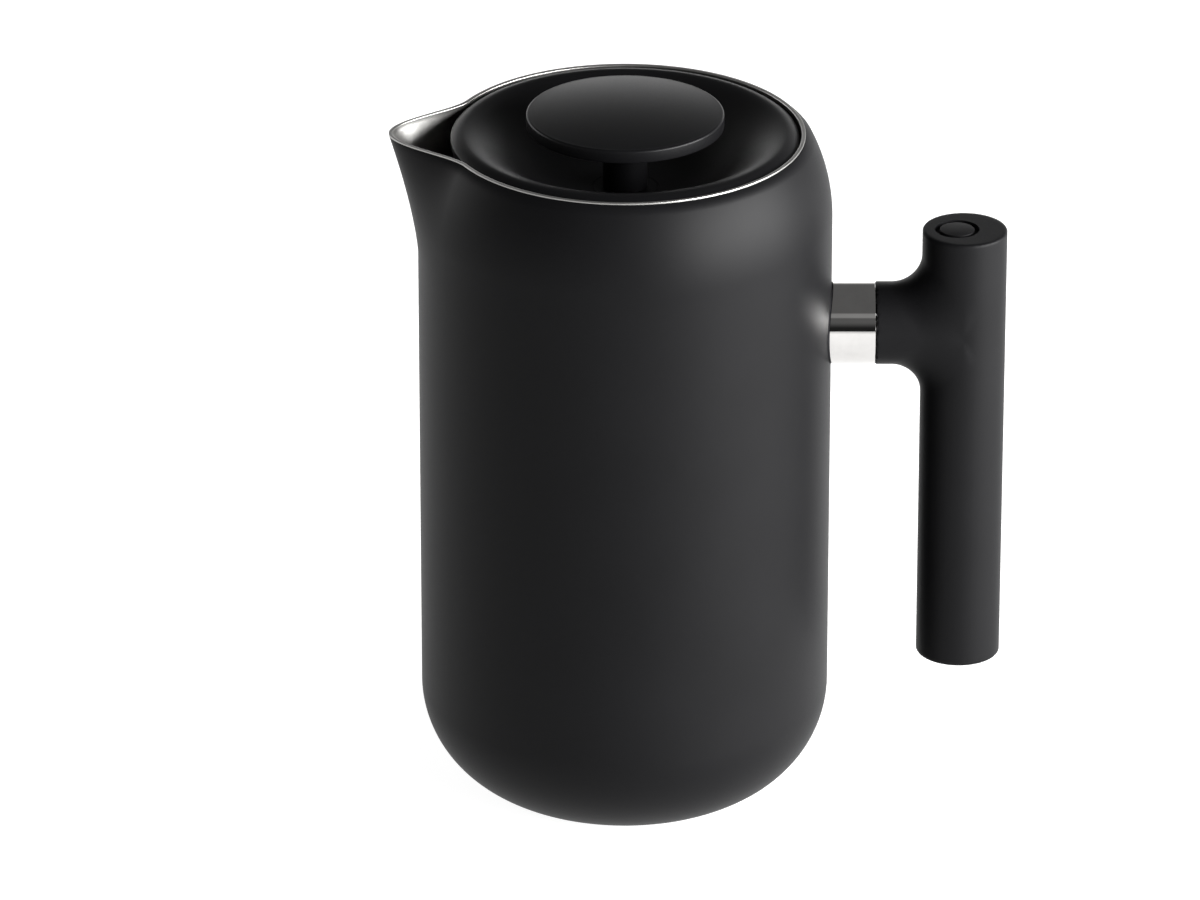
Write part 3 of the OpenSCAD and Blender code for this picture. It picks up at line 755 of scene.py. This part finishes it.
@dataclass
class Vessel:
    """The double-walled vessel: coated shell, steel liner with its lip and spout, and base pad."""

    wall: float = 0.5 * MM
    crown_r: float = 4.5 * MM
    shoulder_w: float = 8.5 * MM
    shoulder_h: float = 21.5 * MM
    lip_h: float = 0.4 * MM
    lip_edge: float = 0.12 * MM
    lip_round: float = 0.36 * MM
    base_r: float = 27.0 * MM
    base_flat_r: float = 29.4 * MM
    base_hole_r: float = 25.0 * MM
    ledge_w: float = 0.8 * MM
    mouth_depth: float = 12.0 * MM
    floor_z: float = 10.0 * MM
    floor_r: float = 12.0 * MM
    spout_h: float = 30.0 * MM
    channel_h: float = 28.0 * MM
    spout_half_angle: float = math.radians(28.0)
    spout_tip_angle: float = math.radians(8.5)
    spout_sharpness: float = 1.9
    side_curve: float = 1.4
    channel_curve: float = 1.15
    pad_h: float = 1.2 * MM
    side_r: float = field(default_factory=shell_radius)
    tip_r: float = field(default_factory=lambda: -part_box("inner_vessel")[0].x)
    rim_z: float = field(default_factory=lambda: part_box("inner_vessel")[1].z)

    def __post_init__(self) -> None:
        """Works out the sizes that follow from the others."""
        self.shell_top = self.rim_z - self.lip_h
        self.shoulder_z = self.rim_z - self.shoulder_h
        self.crown = (self.side_r - self.shoulder_w, self.rim_z - self.crown_r)
        rise = self.shoulder_h - self.crown_r
        self.wide_r = (self.shoulder_w**2 + rise**2 - self.crown_r**2) / (
            2 * (self.shoulder_w - self.crown_r)
        )
        self.wide = (self.side_r - self.wide_r, self.shoulder_z)
        self.join_angle = math.degrees(math.atan2(rise, self.crown[0] - self.wide[0]))
        self.top_angle = math.degrees(math.asin((self.shell_top - self.crown[1]) / self.crown_r))
        self.rim_r = self.crown[0] + self.crown_r * math.cos(math.radians(self.top_angle))
        self.mouth_r = self.rim_r - 2 * self.wall
        self.bore_r = self.mouth_r - self.ledge_w
        self.base_x = self.side_r - self.base_r
        self.base_z = self.pad_h + math.sqrt(self.base_r**2 - (self.base_flat_r - self.base_x) ** 2)
        self.recipe = spout_recipe(self.spout_half_angle, self.spout_tip_angle, self.spout_sharpness)

    def angles(self) -> List[float]:
        """Angles round the vessel from the spout, closer together where the spout is."""
        near, far = 88, 168
        edge = self.spout_half_angle * 1.1
        front = [edge * (2 * i / near - 1) for i in range(near + 1)]
        back = [edge + (2 * math.pi - 2 * edge) * i / far for i in range(1, far)]
        return front + back

    def side_tip(self, r: float, z: float, inset: float) -> float:
        """Radius of the spout's front outside at a height, moved in by a wall."""
        fade = (self.shell_top - z) / self.spout_h
        if fade >= 1:
            return r
        reach = (self.tip_r - self.side_r) * (1 - max(0.0, fade)) ** self.side_curve
        return self.side_r + reach - inset

    def channel_tip(self, r: float, z: float, grow: float) -> float:
        """Radius of the channel's front inside at a height, moved out by a wall."""
        fade = (self.shell_top - z) / self.channel_h
        if fade >= 1:
            return r
        full = self.tip_r - 2 * self.wall - self.bore_r
        return max(r, self.bore_r + full * (1 - max(0.0, fade)) ** self.channel_curve + grow)

    def side_outline(self, inset: float) -> List[Point]:
        """Half outline of the shell from its neck to its base, moved in by a wall."""
        fade_z = self.shell_top - self.spout_h
        side = self.side_r - inset
        return (
            arc(self.crown, self.crown_r - inset, self.top_angle, self.join_angle, 12)
            + arc(self.wide, self.wide_r - inset, self.join_angle, 0.0, 26)[1:]
            + straight(side, self.shoulder_z, fade_z - self.shoulder_z, 8, range(1, 9))
            + straight(side, fade_z, self.base_z - fade_z, 12, range(1, 12))
            + arc((self.base_x, self.base_z), self.base_r - inset, 0.0, -self._base_angle(), 30)
            + [(self.base_hole_r, self.pad_h + inset)]
        )

    def _base_angle(self) -> float:
        """Angle at which the rounded foot of the side meets the flat base, in degrees."""
        return math.degrees(math.asin((self.base_z - self.pad_h) / self.base_r))

    def shell(self) -> bpy.types.Object:
        """The coated outer shell, drawn out into the spout."""
        outside = self.side_outline(0.0)
        inside = [(self.mouth_r + self.wall, self.shell_top)] + self.side_outline(self.wall)
        outline = outside + inside[::-1]
        tips = [self.side_tip(r, z, 0.0) for r, z in outside]
        tips += [self.side_tip(r, z, self.wall) for r, z in inside[::-1]]
        mesh = Lathe(outline, angles=self.angles()).mesh("shell", tips)
        return self.recipe.run("shell", COAT, mesh)

    def bore_outline(self, grow: float) -> List[Point]:
        """Half outline of the bore from the mouth to the middle of the floor, moved out by a wall."""
        ledge_z = self.rim_z - self.mouth_depth - grow
        top = self.shell_top
        mouth, bore = self.mouth_r + grow, self.bore_r + grow
        channel_end = self.shell_top - self.channel_h
        return (
            straight(mouth, top, ledge_z - top, 14, range(15))
            + arc((bore + 0.1 * MM, ledge_z - 0.3 * MM), 0.3 * MM, 80, 170, 4)
            + straight(bore, ledge_z - 0.5 * MM, channel_end - ledge_z, 16, range(1, 17))
            + straight(bore, channel_end, -(channel_end - self.floor_z - self.floor_r), 10, range(1, 10))
            + arc((self.bore_r - self.floor_r, self.floor_z + self.floor_r), self.floor_r + grow, 0, -90, 18)
            + [(0.0, self.floor_z - grow)]
        )

    def liner(self) -> bpy.types.Object:
        """The steel liner with the bare lip and the channel of the spout."""
        edge, soft = self.lip_edge, self.lip_round
        lip = (
            [(self.rim_r, self.shell_top)]
            + arc((self.rim_r - edge, self.rim_z - edge), edge, 0, 90, 4)
            + arc((self.mouth_r + soft, self.rim_z - soft), soft, 90, 180, 6)
        )
        inside = self.bore_outline(0.0)
        outside = self.bore_outline(self.wall)[::-1]
        outline = lip + inside + outside
        lip_tips = [self.tip_r + (r - self.rim_r) for r, _ in lip]
        tips = lip_tips + [self.channel_tip(r, z, 0.0) for r, z in inside]
        tips += [self.channel_tip(r, z, self.wall) for r, z in outside]
        outline.append(outline[0])
        tips.append(tips[0])
        mesh = Lathe(outline[:-1], angles=self.angles()).mesh("liner", tips[:-1])
        return self.recipe.run("liner", LINER, mesh)

    def pad(self) -> bpy.types.Object:
        """The silicone pad, with a softened edge and shallow rings under it."""
        low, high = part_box("base_pad")
        radius = high.x
        outline = rounded(
            [
                (0.0, self.pad_h),
                (radius - 0.2 * MM, self.pad_h),
                (radius, self.pad_h - 0.2 * MM),
                (radius, low.z + 0.3 * MM),
                (radius - 0.3 * MM, low.z),
                (radius - 4 * MM, low.z),
                (radius - 4.3 * MM, low.z + 0.3 * MM),
                (radius - 5.3 * MM, low.z + 0.3 * MM),
                (radius - 5.6 * MM, low.z),
                (0.0, low.z),
            ],
            0.1 * MM,
        )
        return placed("pad", Lathe(outline).mesh("pad"), SILICONE_GREY)

    def build(self) -> None:
        """Makes every piece of the vessel."""
        settle(self.shell(), Body.VESSEL, "outer_shell")
        settle(self.liner(), Body.VESSEL, "inner_vessel")
        settle(self.pad(), Body.VESSEL, "base_pad")
        dress_node("base_plate", PLAIN_STEEL)
        dress_node("vacuum_seal", PLAIN_STEEL)


@dataclass
class Handle:
    """The chrome stem and the T-shaped grip."""

    stem_r: float = 10.05 * MM
    sleeve_wall: float = 1.4 * MM
    gasket_h: float = 0.4 * MM
    fillet: float = 8.0 * MM
    edge: float = 0.5 * MM
    cap_r: float = 4.2 * MM
    groove_w: float = 1.2 * MM
    groove_h: float = 1.0 * MM
    pocket_h: float = 3.0 * MM
    voxel: float = 0.55 * MM
    side_r: float = field(default_factory=shell_radius)

    def __post_init__(self) -> None:
        """Reads the handle's place from the frame."""
        low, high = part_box("grip")
        self.grip_low, self.grip_high = low.z, high.z
        self.grip_r = high.y
        self.grip_x = high.x - self.grip_r
        self.sleeve_end = low.x
        sleeve_low, sleeve_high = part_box("stem_sleeve")
        self.stem_z = (sleeve_low.z + sleeve_high.z) / 2
        cap_low, cap_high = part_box("grip_top_cap")
        self.cap_x = (cap_low.x + cap_high.x) / 2
        plug_low, plug_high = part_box("grip_end_cap")
        self.plug_r = (plug_high.x - plug_low.x) / 2
        self.plug_h = plug_high.z - plug_low.z

    def sleeve(self) -> bpy.types.Object:
        """The chrome sleeve, its end cut to the round of the vessel."""
        steps, soft = 144, 0.25 * MM
        foot_r = self.side_r + self.gasket_h
        inner = self.stem_r - self.sleeve_wall
        far = [(self.sleeve_end, self.stem_r - soft), (self.sleeve_end - soft, self.stem_r)]
        work = bmesh.new()
        rings = []
        rows = [(None, inner), (self.sleeve_end, inner), far[0], far[1], (None, self.stem_r)]
        for x, r in rows:
            ring = []
            for k in range(steps):
                a = 2 * math.pi * k / steps
                y, z = r * math.cos(a), self.stem_z + r * math.sin(a)
                ring.append(work.verts.new((x if x else math.sqrt(foot_r**2 - y * y), y, z)))
            rings.append(ring)
        for one, two in zip(rings, rings[1:] + rings[:1]):
            for k in range(steps):
                n = (k + 1) % steps
                work.faces.new((one[k], one[n], two[n], two[k]))
        return placed("sleeve", finish_mesh(as_mesh(work, "sleeve"), 30.0), CHROME)

    def _distance(self, p: np.ndarray) -> np.ndarray:
        """Signed distance to the grip's surface, for points in metres."""

        def capsule(across: np.ndarray, along: np.ndarray, r: float, half: float, soft: float) -> np.ndarray:
            """Distance to a round bar with softened ends."""
            q = np.stack([across - r + soft, np.abs(along) - half + soft], 1)
            return np.minimum(q.max(1), 0) + np.linalg.norm(np.maximum(q, 0), axis=1) - soft

        upright = np.hypot(p[:, 0] - self.grip_x, p[:, 1])
        level = np.hypot(p[:, 1], p[:, 2] - self.stem_z)
        middle = (self.grip_low + self.grip_high) / 2
        bar = capsule(upright, p[:, 2] - middle, self.grip_r, (self.grip_high - self.grip_low) / 2, self.edge)
        mid_x = (self.sleeve_end + self.grip_x) / 2
        boss = capsule(level, p[:, 0] - mid_x, self.stem_r, (self.grip_x - self.sleeve_end) / 2, 0.3 * MM)
        meet = np.abs(p[:, 1] / np.maximum(upright, 1e-6) * p[:, 1] / np.maximum(level, 1e-6))
        r = self.fillet * np.sqrt(np.maximum(1 - meet, 0)) + 1e-6
        corner = np.stack([r - bar, r - boss], 1)
        return np.maximum(r, np.minimum(bar, boss)) - np.linalg.norm(np.maximum(corner, 0), axis=1)

    def _settled(self, co: np.ndarray) -> np.ndarray:
        """Points drawn onto the grip's surface."""
        step = 0.02 * MM
        for _ in range(8):
            here = self._distance(co)
            slope = np.stack(
                [(self._distance(co + d) - self._distance(co - d)) / (2 * step) for d in np.eye(3) * step], 1
            )
            size = np.maximum((slope**2).sum(1), 0.25)
            co = co - slope * (here / size)[:, None]
        return co

    def grip(self) -> bpy.types.Object:
        """The grip: two round bars joined by a round, with pockets for its cap and its plug."""
        work = bmesh.new()
        length = self.grip_high - self.grip_low
        upright = Matrix.Translation((self.grip_x, 0, (self.grip_low + self.grip_high) / 2))
        level = Matrix.Translation(((self.sleeve_end + self.grip_x) / 2, 0, self.stem_z))
        level = level @ Matrix.Rotation(math.pi / 2, 4, "Y")
        add_bar(work, self.grip_r, length, upright)
        add_bar(work, self.stem_r, self.grip_x - self.sleeve_end, level)
        rough = added("grip_rough", as_mesh(work, "grip_rough"))
        remesh = rough.modifiers.new("remesh", "REMESH")
        remesh.mode = "VOXEL"
        remesh.voxel_size = self.voxel
        skin = evaluated(rough)
        bpy.data.objects.remove(rough)
        co = np.empty(len(skin.vertices) * 3)
        skin.vertices.foreach_get("co", co)
        skin.vertices.foreach_set("co", self._settled(co.reshape(-1, 3)).ravel())
        skin.update()
        piece = placed("grip", finish_mesh(skin, 50.0), GRIP_PLASTIC)
        pocket = self.cap_r + self.groove_w
        self._cut(piece, (self.cap_x, 0, self.grip_high), pocket, self.pocket_h)
        self._cut(piece, (self.grip_x, 0, self.grip_low), self.plug_r + 0.12 * MM, self.plug_h)
        piece.data.shade_smooth()
        piece.data.set_sharp_from_angle(angle=math.radians(50))
        return piece

    @staticmethod
    def _cut(piece: bpy.types.Object, centre: Tuple[float, float, float], r: float, depth: float) -> None:
        """Cuts a round upright pocket into a piece, from a face at the centre's height."""
        work = bmesh.new()
        add_bar(work, r, 2 * depth, Matrix.Translation(centre))
        cutter = added("cutter", as_mesh(work, "cutter"))
        cut = piece.modifiers.new("cut", "BOOLEAN")
        cut.object = cutter
        cut.operation = "DIFFERENCE"
        cut.solver = "EXACT"
        mesh = evaluated(piece)
        piece.modifiers.clear()
        piece.data = mesh
        bpy.data.objects.remove(cutter)

    def cap(self) -> bpy.types.Object:
        """The round cap on top of the grip, which leaves a ring groove around it."""
        top, foot = self.grip_high, self.grip_high - self.pocket_h
        shelf = top - self.groove_h
        outline = rounded(
            [
                (0.0, foot),
                (self.cap_r + self.groove_w, foot),
                (self.cap_r + self.groove_w, shelf),
                (self.cap_r, shelf),
                (self.cap_r, top - 0.02 * MM),
                (0.0, top - 0.02 * MM),
            ],
            0.18 * MM,
        )
        mesh = Lathe(outline, 96, centre=(self.cap_x, 0.0)).mesh("grip_cap")
        return placed("grip_cap", mesh, GRIP_PLASTIC)

    def plug(self) -> bpy.types.Object:
        """The plug in the grip's lower end."""
        low, high = self.grip_low, self.grip_low + self.plug_h
        outline = rounded([(0.0, low), (self.plug_r, low), (self.plug_r, high), (0.0, high)], 0.25 * MM)
        mesh = Lathe(outline, 96, centre=(self.grip_x, 0.0)).mesh("grip_plug")
        return placed("grip_plug", mesh, GRIP_PLASTIC)

    def build(self) -> None:
        """Makes every piece of the handle."""
        settle(self.sleeve(), Body.VESSEL, "stem_sleeve")
        settle(self.grip(), Body.VESSEL, "grip")
        settle(self.cap(), Body.VESSEL, "grip_top_cap")
        settle(self.plug(), Body.VESSEL, "grip_end_cap")
        dress_node("stem_gasket", SILICONE_BLACK)
        dress_node("stem_spacer", NYLON)
        dress_node("handle_stud", PLAIN_STEEL)
        dress_node("grip_insert", BRASS)
        dress_node("grip_core", PLAIN_STEEL)
        dress_node("grip_set_screw", FASTENER)


@dataclass
class Lid:
    """The dished lid with its skirt, strainer, plate, screws, seal and guide bush."""

    crest_in: float = 3.0 * MM
    dish_curve: float = 0.82
    edge_drop: float = 1.4 * MM
    dish_flat_r: float = 11.0 * MM
    cover_t: float = 2.2 * MM
    boss_wall: float = 3.4 * MM
    fit: float = 0.06 * MM
    pillar_r: float = 3.5 * MM
    pillar_ring: float = 30.0 * MM
    pillars: int = 3
    band_columns: int = 96
    band_rows: int = 3

    def __post_init__(self) -> None:
        """Reads the lid's place from the frame."""
        low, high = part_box("lid_cover")
        self.low, self.crest_z = low.z, high.z
        self.edge_r = max(high.x, high.y)
        self.crest_r = self.edge_r - self.crest_in
        guide_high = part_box("rod_guide")[1]
        self.dish_z = guide_high.z
        self.flange_r = guide_high.x
        self.rim_drop_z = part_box("strainer_band")[1].z

    def top(self, r: float) -> float:
        """Height of the lid's upper face at a radius."""
        if r > self.crest_r:
            return self.crest_z - self.edge_drop * ((r - self.crest_r) / (self.edge_r - self.crest_r)) ** 2
        if r < self.dish_flat_r:
            return self.dish_z
        share = (self.crest_r - r) / (self.crest_r - self.dish_flat_r)
        turn = math.pi * share**self.dish_curve
        return self.crest_z - (self.crest_z - self.dish_z) * (1 - math.cos(turn)) / 2

    def cover(self) -> bpy.types.Object:
        """The dished cover with the boss for the guide bush and the pillars for its screws."""
        drop = self.cover_t * 1.2
        inner_edge = self.edge_r - self.cover_t
        guide_r = self.flange_r - 2 * MM + self.fit
        boss_r = guide_r - self.fit + self.boss_wall
        recess_z = self.dish_z - 1.1 * MM
        dish_w = self.crest_r - self.dish_flat_r
        reach = [self.crest_r - dish_w * (i / 60) ** 1.4 for i in range(60, -1, -1)]
        face = [(r, self.top(r)) for r in reach]
        brim = [
            (self.crest_r + self.crest_in * i / 14, self.top(self.crest_r + self.crest_in * i / 14))
            for i in range(1, 14)
        ]
        edge = rounded(
            [
                brim[-1],
                (self.edge_r, self.top(self.edge_r)),
                (self.edge_r, self.rim_drop_z),
                (inner_edge, self.rim_drop_z),
            ],
            0.3 * MM,
        )
        under_span = inner_edge - boss_r
        under = [
            (inner_edge - under_span * i / 60, self.top(inner_edge - under_span * i / 60) - drop)
            for i in range(61)
        ]
        bore = [
            (boss_r, self.low),
            (guide_r, self.low),
            (guide_r, recess_z),
            (self.flange_r + self.fit, recess_z),
            (self.flange_r + self.fit, self.dish_z),
        ]
        outline = face + brim[:-1] + edge + under + bore
        mesh = Lathe(outline, 256).mesh("lid_cover_skin")
        work = bmesh.new()
        work.from_mesh(mesh)
        for k in range(self.pillars):
            turn = 2 * math.pi * k / self.pillars
            height = self.top(self.pillar_ring - self.pillar_r) - drop / 2 - self.low
            place = Matrix.Rotation(turn, 4, "Z") @ Matrix.Translation(
                (self.pillar_ring, 0, self.low + height / 2)
            )
            add_bar(work, self.pillar_r, height, place, 40)
        work.to_mesh(mesh)
        work.free()
        mesh.shade_smooth()
        mesh.set_sharp_from_angle(angle=math.radians(38))
        return placed("lid_cover_skin", mesh, LID_PLASTIC)

    def band(self) -> bpy.types.Object:
        """The perforated strainer band."""
        low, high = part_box("strainer_band")
        recipe = band_recipe(max(high.x, high.y), low.z, high.z, 0.4 * MM, self.band_columns, self.band_rows)
        return recipe.run("strainer", PLATE_STEEL)

    def build(self) -> None:
        """Makes every piece of the lid."""
        settle(self.cover(), Body.LID, "lid_cover")
        settle(self.band(), Body.LID, "strainer_band")
        dress_node("lid_skirt", LID_PLASTIC, 0.15 * MM)
        dress_node("lid_underplate", LID_PLASTIC, 0.15 * MM)
        dress_node("lid_screws", FASTENER, 0.12 * MM)
        dress_node("lid_gasket", SILICONE_BLACK, 0.2 * MM)
        dress_node("rod_guide", LID_PLASTIC, 0.12 * MM)
        dress_node("guide_clip", FASTENER, 0.1 * MM)


@dataclass
class Plunger:
    """The knob, the rod and the filter."""

    knob_edge: float = 0.6 * MM
    knob_side: float = 3.2 * MM
    nest: float = 1.2 * MM
    flare: float = 6.0 * MM
    neck_r: float = 5.35 * MM
    screen_pitch: float = 1.6 * MM
    wire_r: float = 0.1 * MM

    def __post_init__(self) -> None:
        """Reads the plunger's place from the frame."""
        low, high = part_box("knob_top")
        self.knob_r = max(high.x, high.y)
        self.knob_low, self.knob_high = low.z, high.z
        self.neck_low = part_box("knob_base")[0].z
        self.rod_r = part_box("plunger_rod")[1].y

    def knob(self) -> bpy.types.Object:
        """The knob's disc: a slightly domed top and a softened edge."""
        edge_z = self.knob_low + self.knob_side
        flat = self.knob_r - self.knob_edge
        dome = self.knob_high - edge_z
        top = [(flat * i / 40, edge_z + dome * (1 - (i / 40) ** 2)) for i in range(41)]
        side = arc((flat, edge_z - self.knob_edge), self.knob_edge, 86, 0, 8)
        under = rounded(
            [
                (self.knob_r, edge_z - self.knob_edge),
                (self.knob_r, self.knob_low),
                (self.knob_r - self.nest, self.knob_low),
                (self.knob_r - self.nest, self.knob_low + self.nest),
                (0.0, self.knob_low + self.nest),
            ],
            0.25 * MM,
        )
        mesh = Lathe(top + side + under[1:], 256).mesh("knob")
        return placed("knob", mesh, KNOB_PLASTIC)

    def neck(self) -> bpy.types.Object:
        """The knob's underside, which runs down into its neck."""
        flare_x, flare_z = self.neck_r + self.flare, self.knob_low - self.flare
        nest_r = self.knob_r - self.nest
        outline = (
            [(self.rod_r, self.knob_low), (self.rod_r, self.neck_low)]
            + [(self.neck_r - 0.3 * MM, self.neck_low), (self.neck_r, self.neck_low + 0.3 * MM)]
            + arc((flare_x, flare_z), self.flare, 180, 90, 16)
            + [(nest_r, self.knob_low), (nest_r, self.knob_low + self.nest), (0.0, self.knob_low + self.nest)]
        )
        mesh = Lathe([(0.0, self.knob_low)] + outline, 160).mesh("knob_neck")
        return placed("knob_neck", mesh, KNOB_PLASTIC)

    def screen(self) -> bpy.types.Object:
        """The woven screen."""
        low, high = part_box("mesh_screen")
        radius = max(high.x, high.y)
        recipe = screen_recipe(radius, (low.z + high.z) / 2, self.screen_pitch, self.wire_r)
        return recipe.run("screen", WIRE)

    def build(self) -> None:
        """Makes every piece of the plunger."""
        settle(self.knob(), Body.PLUNGER, "knob_top")
        settle(self.neck(), Body.PLUNGER, "knob_base")
        settle(self.screen(), Body.PLUNGER, "mesh_screen")
        dress_node("knob_insert", BRASS)
        dress_node("plunger_rod", ROD, 0.2 * MM)
        dress_node("filter_hub", PLATE_STEEL, 0.2 * MM)
        dress_node("filter_top_plate", PLATE_STEEL, 0.12 * MM)
        dress_node("filter_bottom_plate", PLATE_STEEL, 0.12 * MM)
        dress_node("filter_seal", SILICONE_BLACK, 0.25 * MM)
        dress_node("filter_nut", FASTENER, 0.15 * MM)


# ---------------------------------------------------------------- studio


@dataclass(frozen=True)
class SoftBox:
    """A rectangular studio light aimed at a point."""

    name: str
    place: Tuple[float, float, float]
    size: Tuple[float, float]
    power: float
    aim: Tuple[float, float, float] = (0.0, 0.0, 0.09)

    def build(self) -> None:
        """Adds the light."""
        light = bpy.data.lights.new(self.name, "AREA")
        light.shape = "RECTANGLE"
        light.size, light.size_y = self.size
        light.energy = self.power
        made = added(self.name, light)
        made.location = self.place
        direction = Vector(self.aim) - Vector(self.place)
        made.rotation_euler = direction.to_track_quat("-Z", "Y").to_euler()
        made.visible_camera = False


@dataclass
class Studio:
    """Pale floor, soft lights and the camera."""

    elevation: float = math.radians(24.85)
    distance: float = 2.181
    aim: Tuple[float, float, float] = (-0.00605, 0.0, 0.08825)
    lens: float = 268.2
    floor_glow: float = 0.92
    backdrop: float = 0.8
    ceiling: float = 0.15
    strip: float = 0.36
    front: float = 0.02

    def floor(self) -> None:
        """A wide pale floor that glows, as a lit light table does."""
        mesh = bpy.data.meshes.new("floor")
        side = 6.0
        corners = [(-side, -side, 0), (side, -side, 0), (side, side, 0), (-side, side, 0)]
        mesh.from_pydata(corners, [], [(0, 1, 2, 3)])
        made = bpy.data.materials.new("floor_pale")
        made.use_nodes = True
        tree = Tree(made.node_tree)
        shader = tree.node("ShaderNodeBsdfPrincipled")
        tree.node("ShaderNodeOutputMaterial", inputs={0: Value(tree, shader.outputs[0])})
        sweep = tree.noise(tree.value("ShaderNodeTexCoord", output="Object"), 0.4, 1.0)
        tree.feed(shader.inputs["Base Color"], tree.mix(sweep, (0.30, 0.30, 0.30), (0.31, 0.31, 0.31)))
        tree.feed(shader.inputs["Roughness"], 0.9)
        tree.feed(shader.inputs["Emission Color"], (1.0, 1.0, 1.0, 1.0))
        tree.feed(shader.inputs["Emission Strength"], self.floor_glow)
        mesh.materials.append(made)
        added("floor", mesh)

    def lights(self) -> None:
        """A broad soft box low at the right and faint ones at the left and behind."""
        boxes = (
            SoftBox("key_right", (1.09, -0.48, 0.38), (1.4, 0.76), 100.0),
            SoftBox("fill_left", (-1.3, 0.75, 0.4), (0.9, 0.7), 7.0),
            SoftBox("back_low", (0.0, 1.7, 0.28), (2.2, 0.4), 5.0),
        )
        for box in boxes:
            box.build()

    def sky(self) -> None:
        """Bright behind and at the sides, grey overhead with a lighter strip, and dark in front."""
        world = bpy.data.worlds.new("studio")
        world.use_nodes = True
        tree = Tree(world.node_tree)
        x, y, z = tree.split(tree.value("ShaderNodeTexCoord", output="Generated"))
        overhead = z.rise(0.12, 0.44)
        ahead = (-y).rise(0.35, 0.8)
        level = self.backdrop + overhead * (self.ceiling - self.backdrop)
        level = level + ahead * (1.0 - overhead) * (self.front - self.backdrop)
        strip = z.rise(0.56, 0.62) * (1.0 - z.rise(0.72, 0.78)) * (-y).rise(0.3, 0.5)
        level = level + strip * (self.strip - self.ceiling)
        light = tree.value("ShaderNodeBackground", inputs={0: (1.0, 1.0, 1.0, 1.0), 1: level})
        tree.node("ShaderNodeOutputWorld", inputs={0: light})
        bpy.context.scene.world = world

    def camera(self) -> None:
        """The camera, level with the press's axis and looking down on it."""
        data = bpy.data.cameras.new("camera")
        data.lens = self.lens
        data.sensor_fit = "HORIZONTAL"
        data.sensor_width = 36.0
        data.clip_start, data.clip_end = 0.1, 50.0
        made = added("camera", data)
        back = Vector((0.0, -math.cos(self.elevation), math.sin(self.elevation)))
        made.location = Vector(self.aim) + back * self.distance
        made.rotation_euler = (-back).to_track_quat("-Z", "Y").to_euler()
        bpy.context.scene.camera = made

    def build(self) -> None:
        """Sets up the whole studio."""
        self.floor()
        self.lights()
        self.sky()
        self.camera()
        bpy.context.scene.view_settings.view_transform = "Standard"


def corners(box: Iterable[Vector]) -> List[List[float]]:
    """A box as plain lists."""
    return [[float(c) for c in corner] for corner in box]


def main() -> None:
    """Builds the press and its studio."""
    logging.basicConfig(level=logging.INFO, format="%(message)s")
    for part in (Vessel(), Handle(), Lid(), Plunger()):
        part.build()
    Studio().build()


if __name__ == "__main__":
    main()
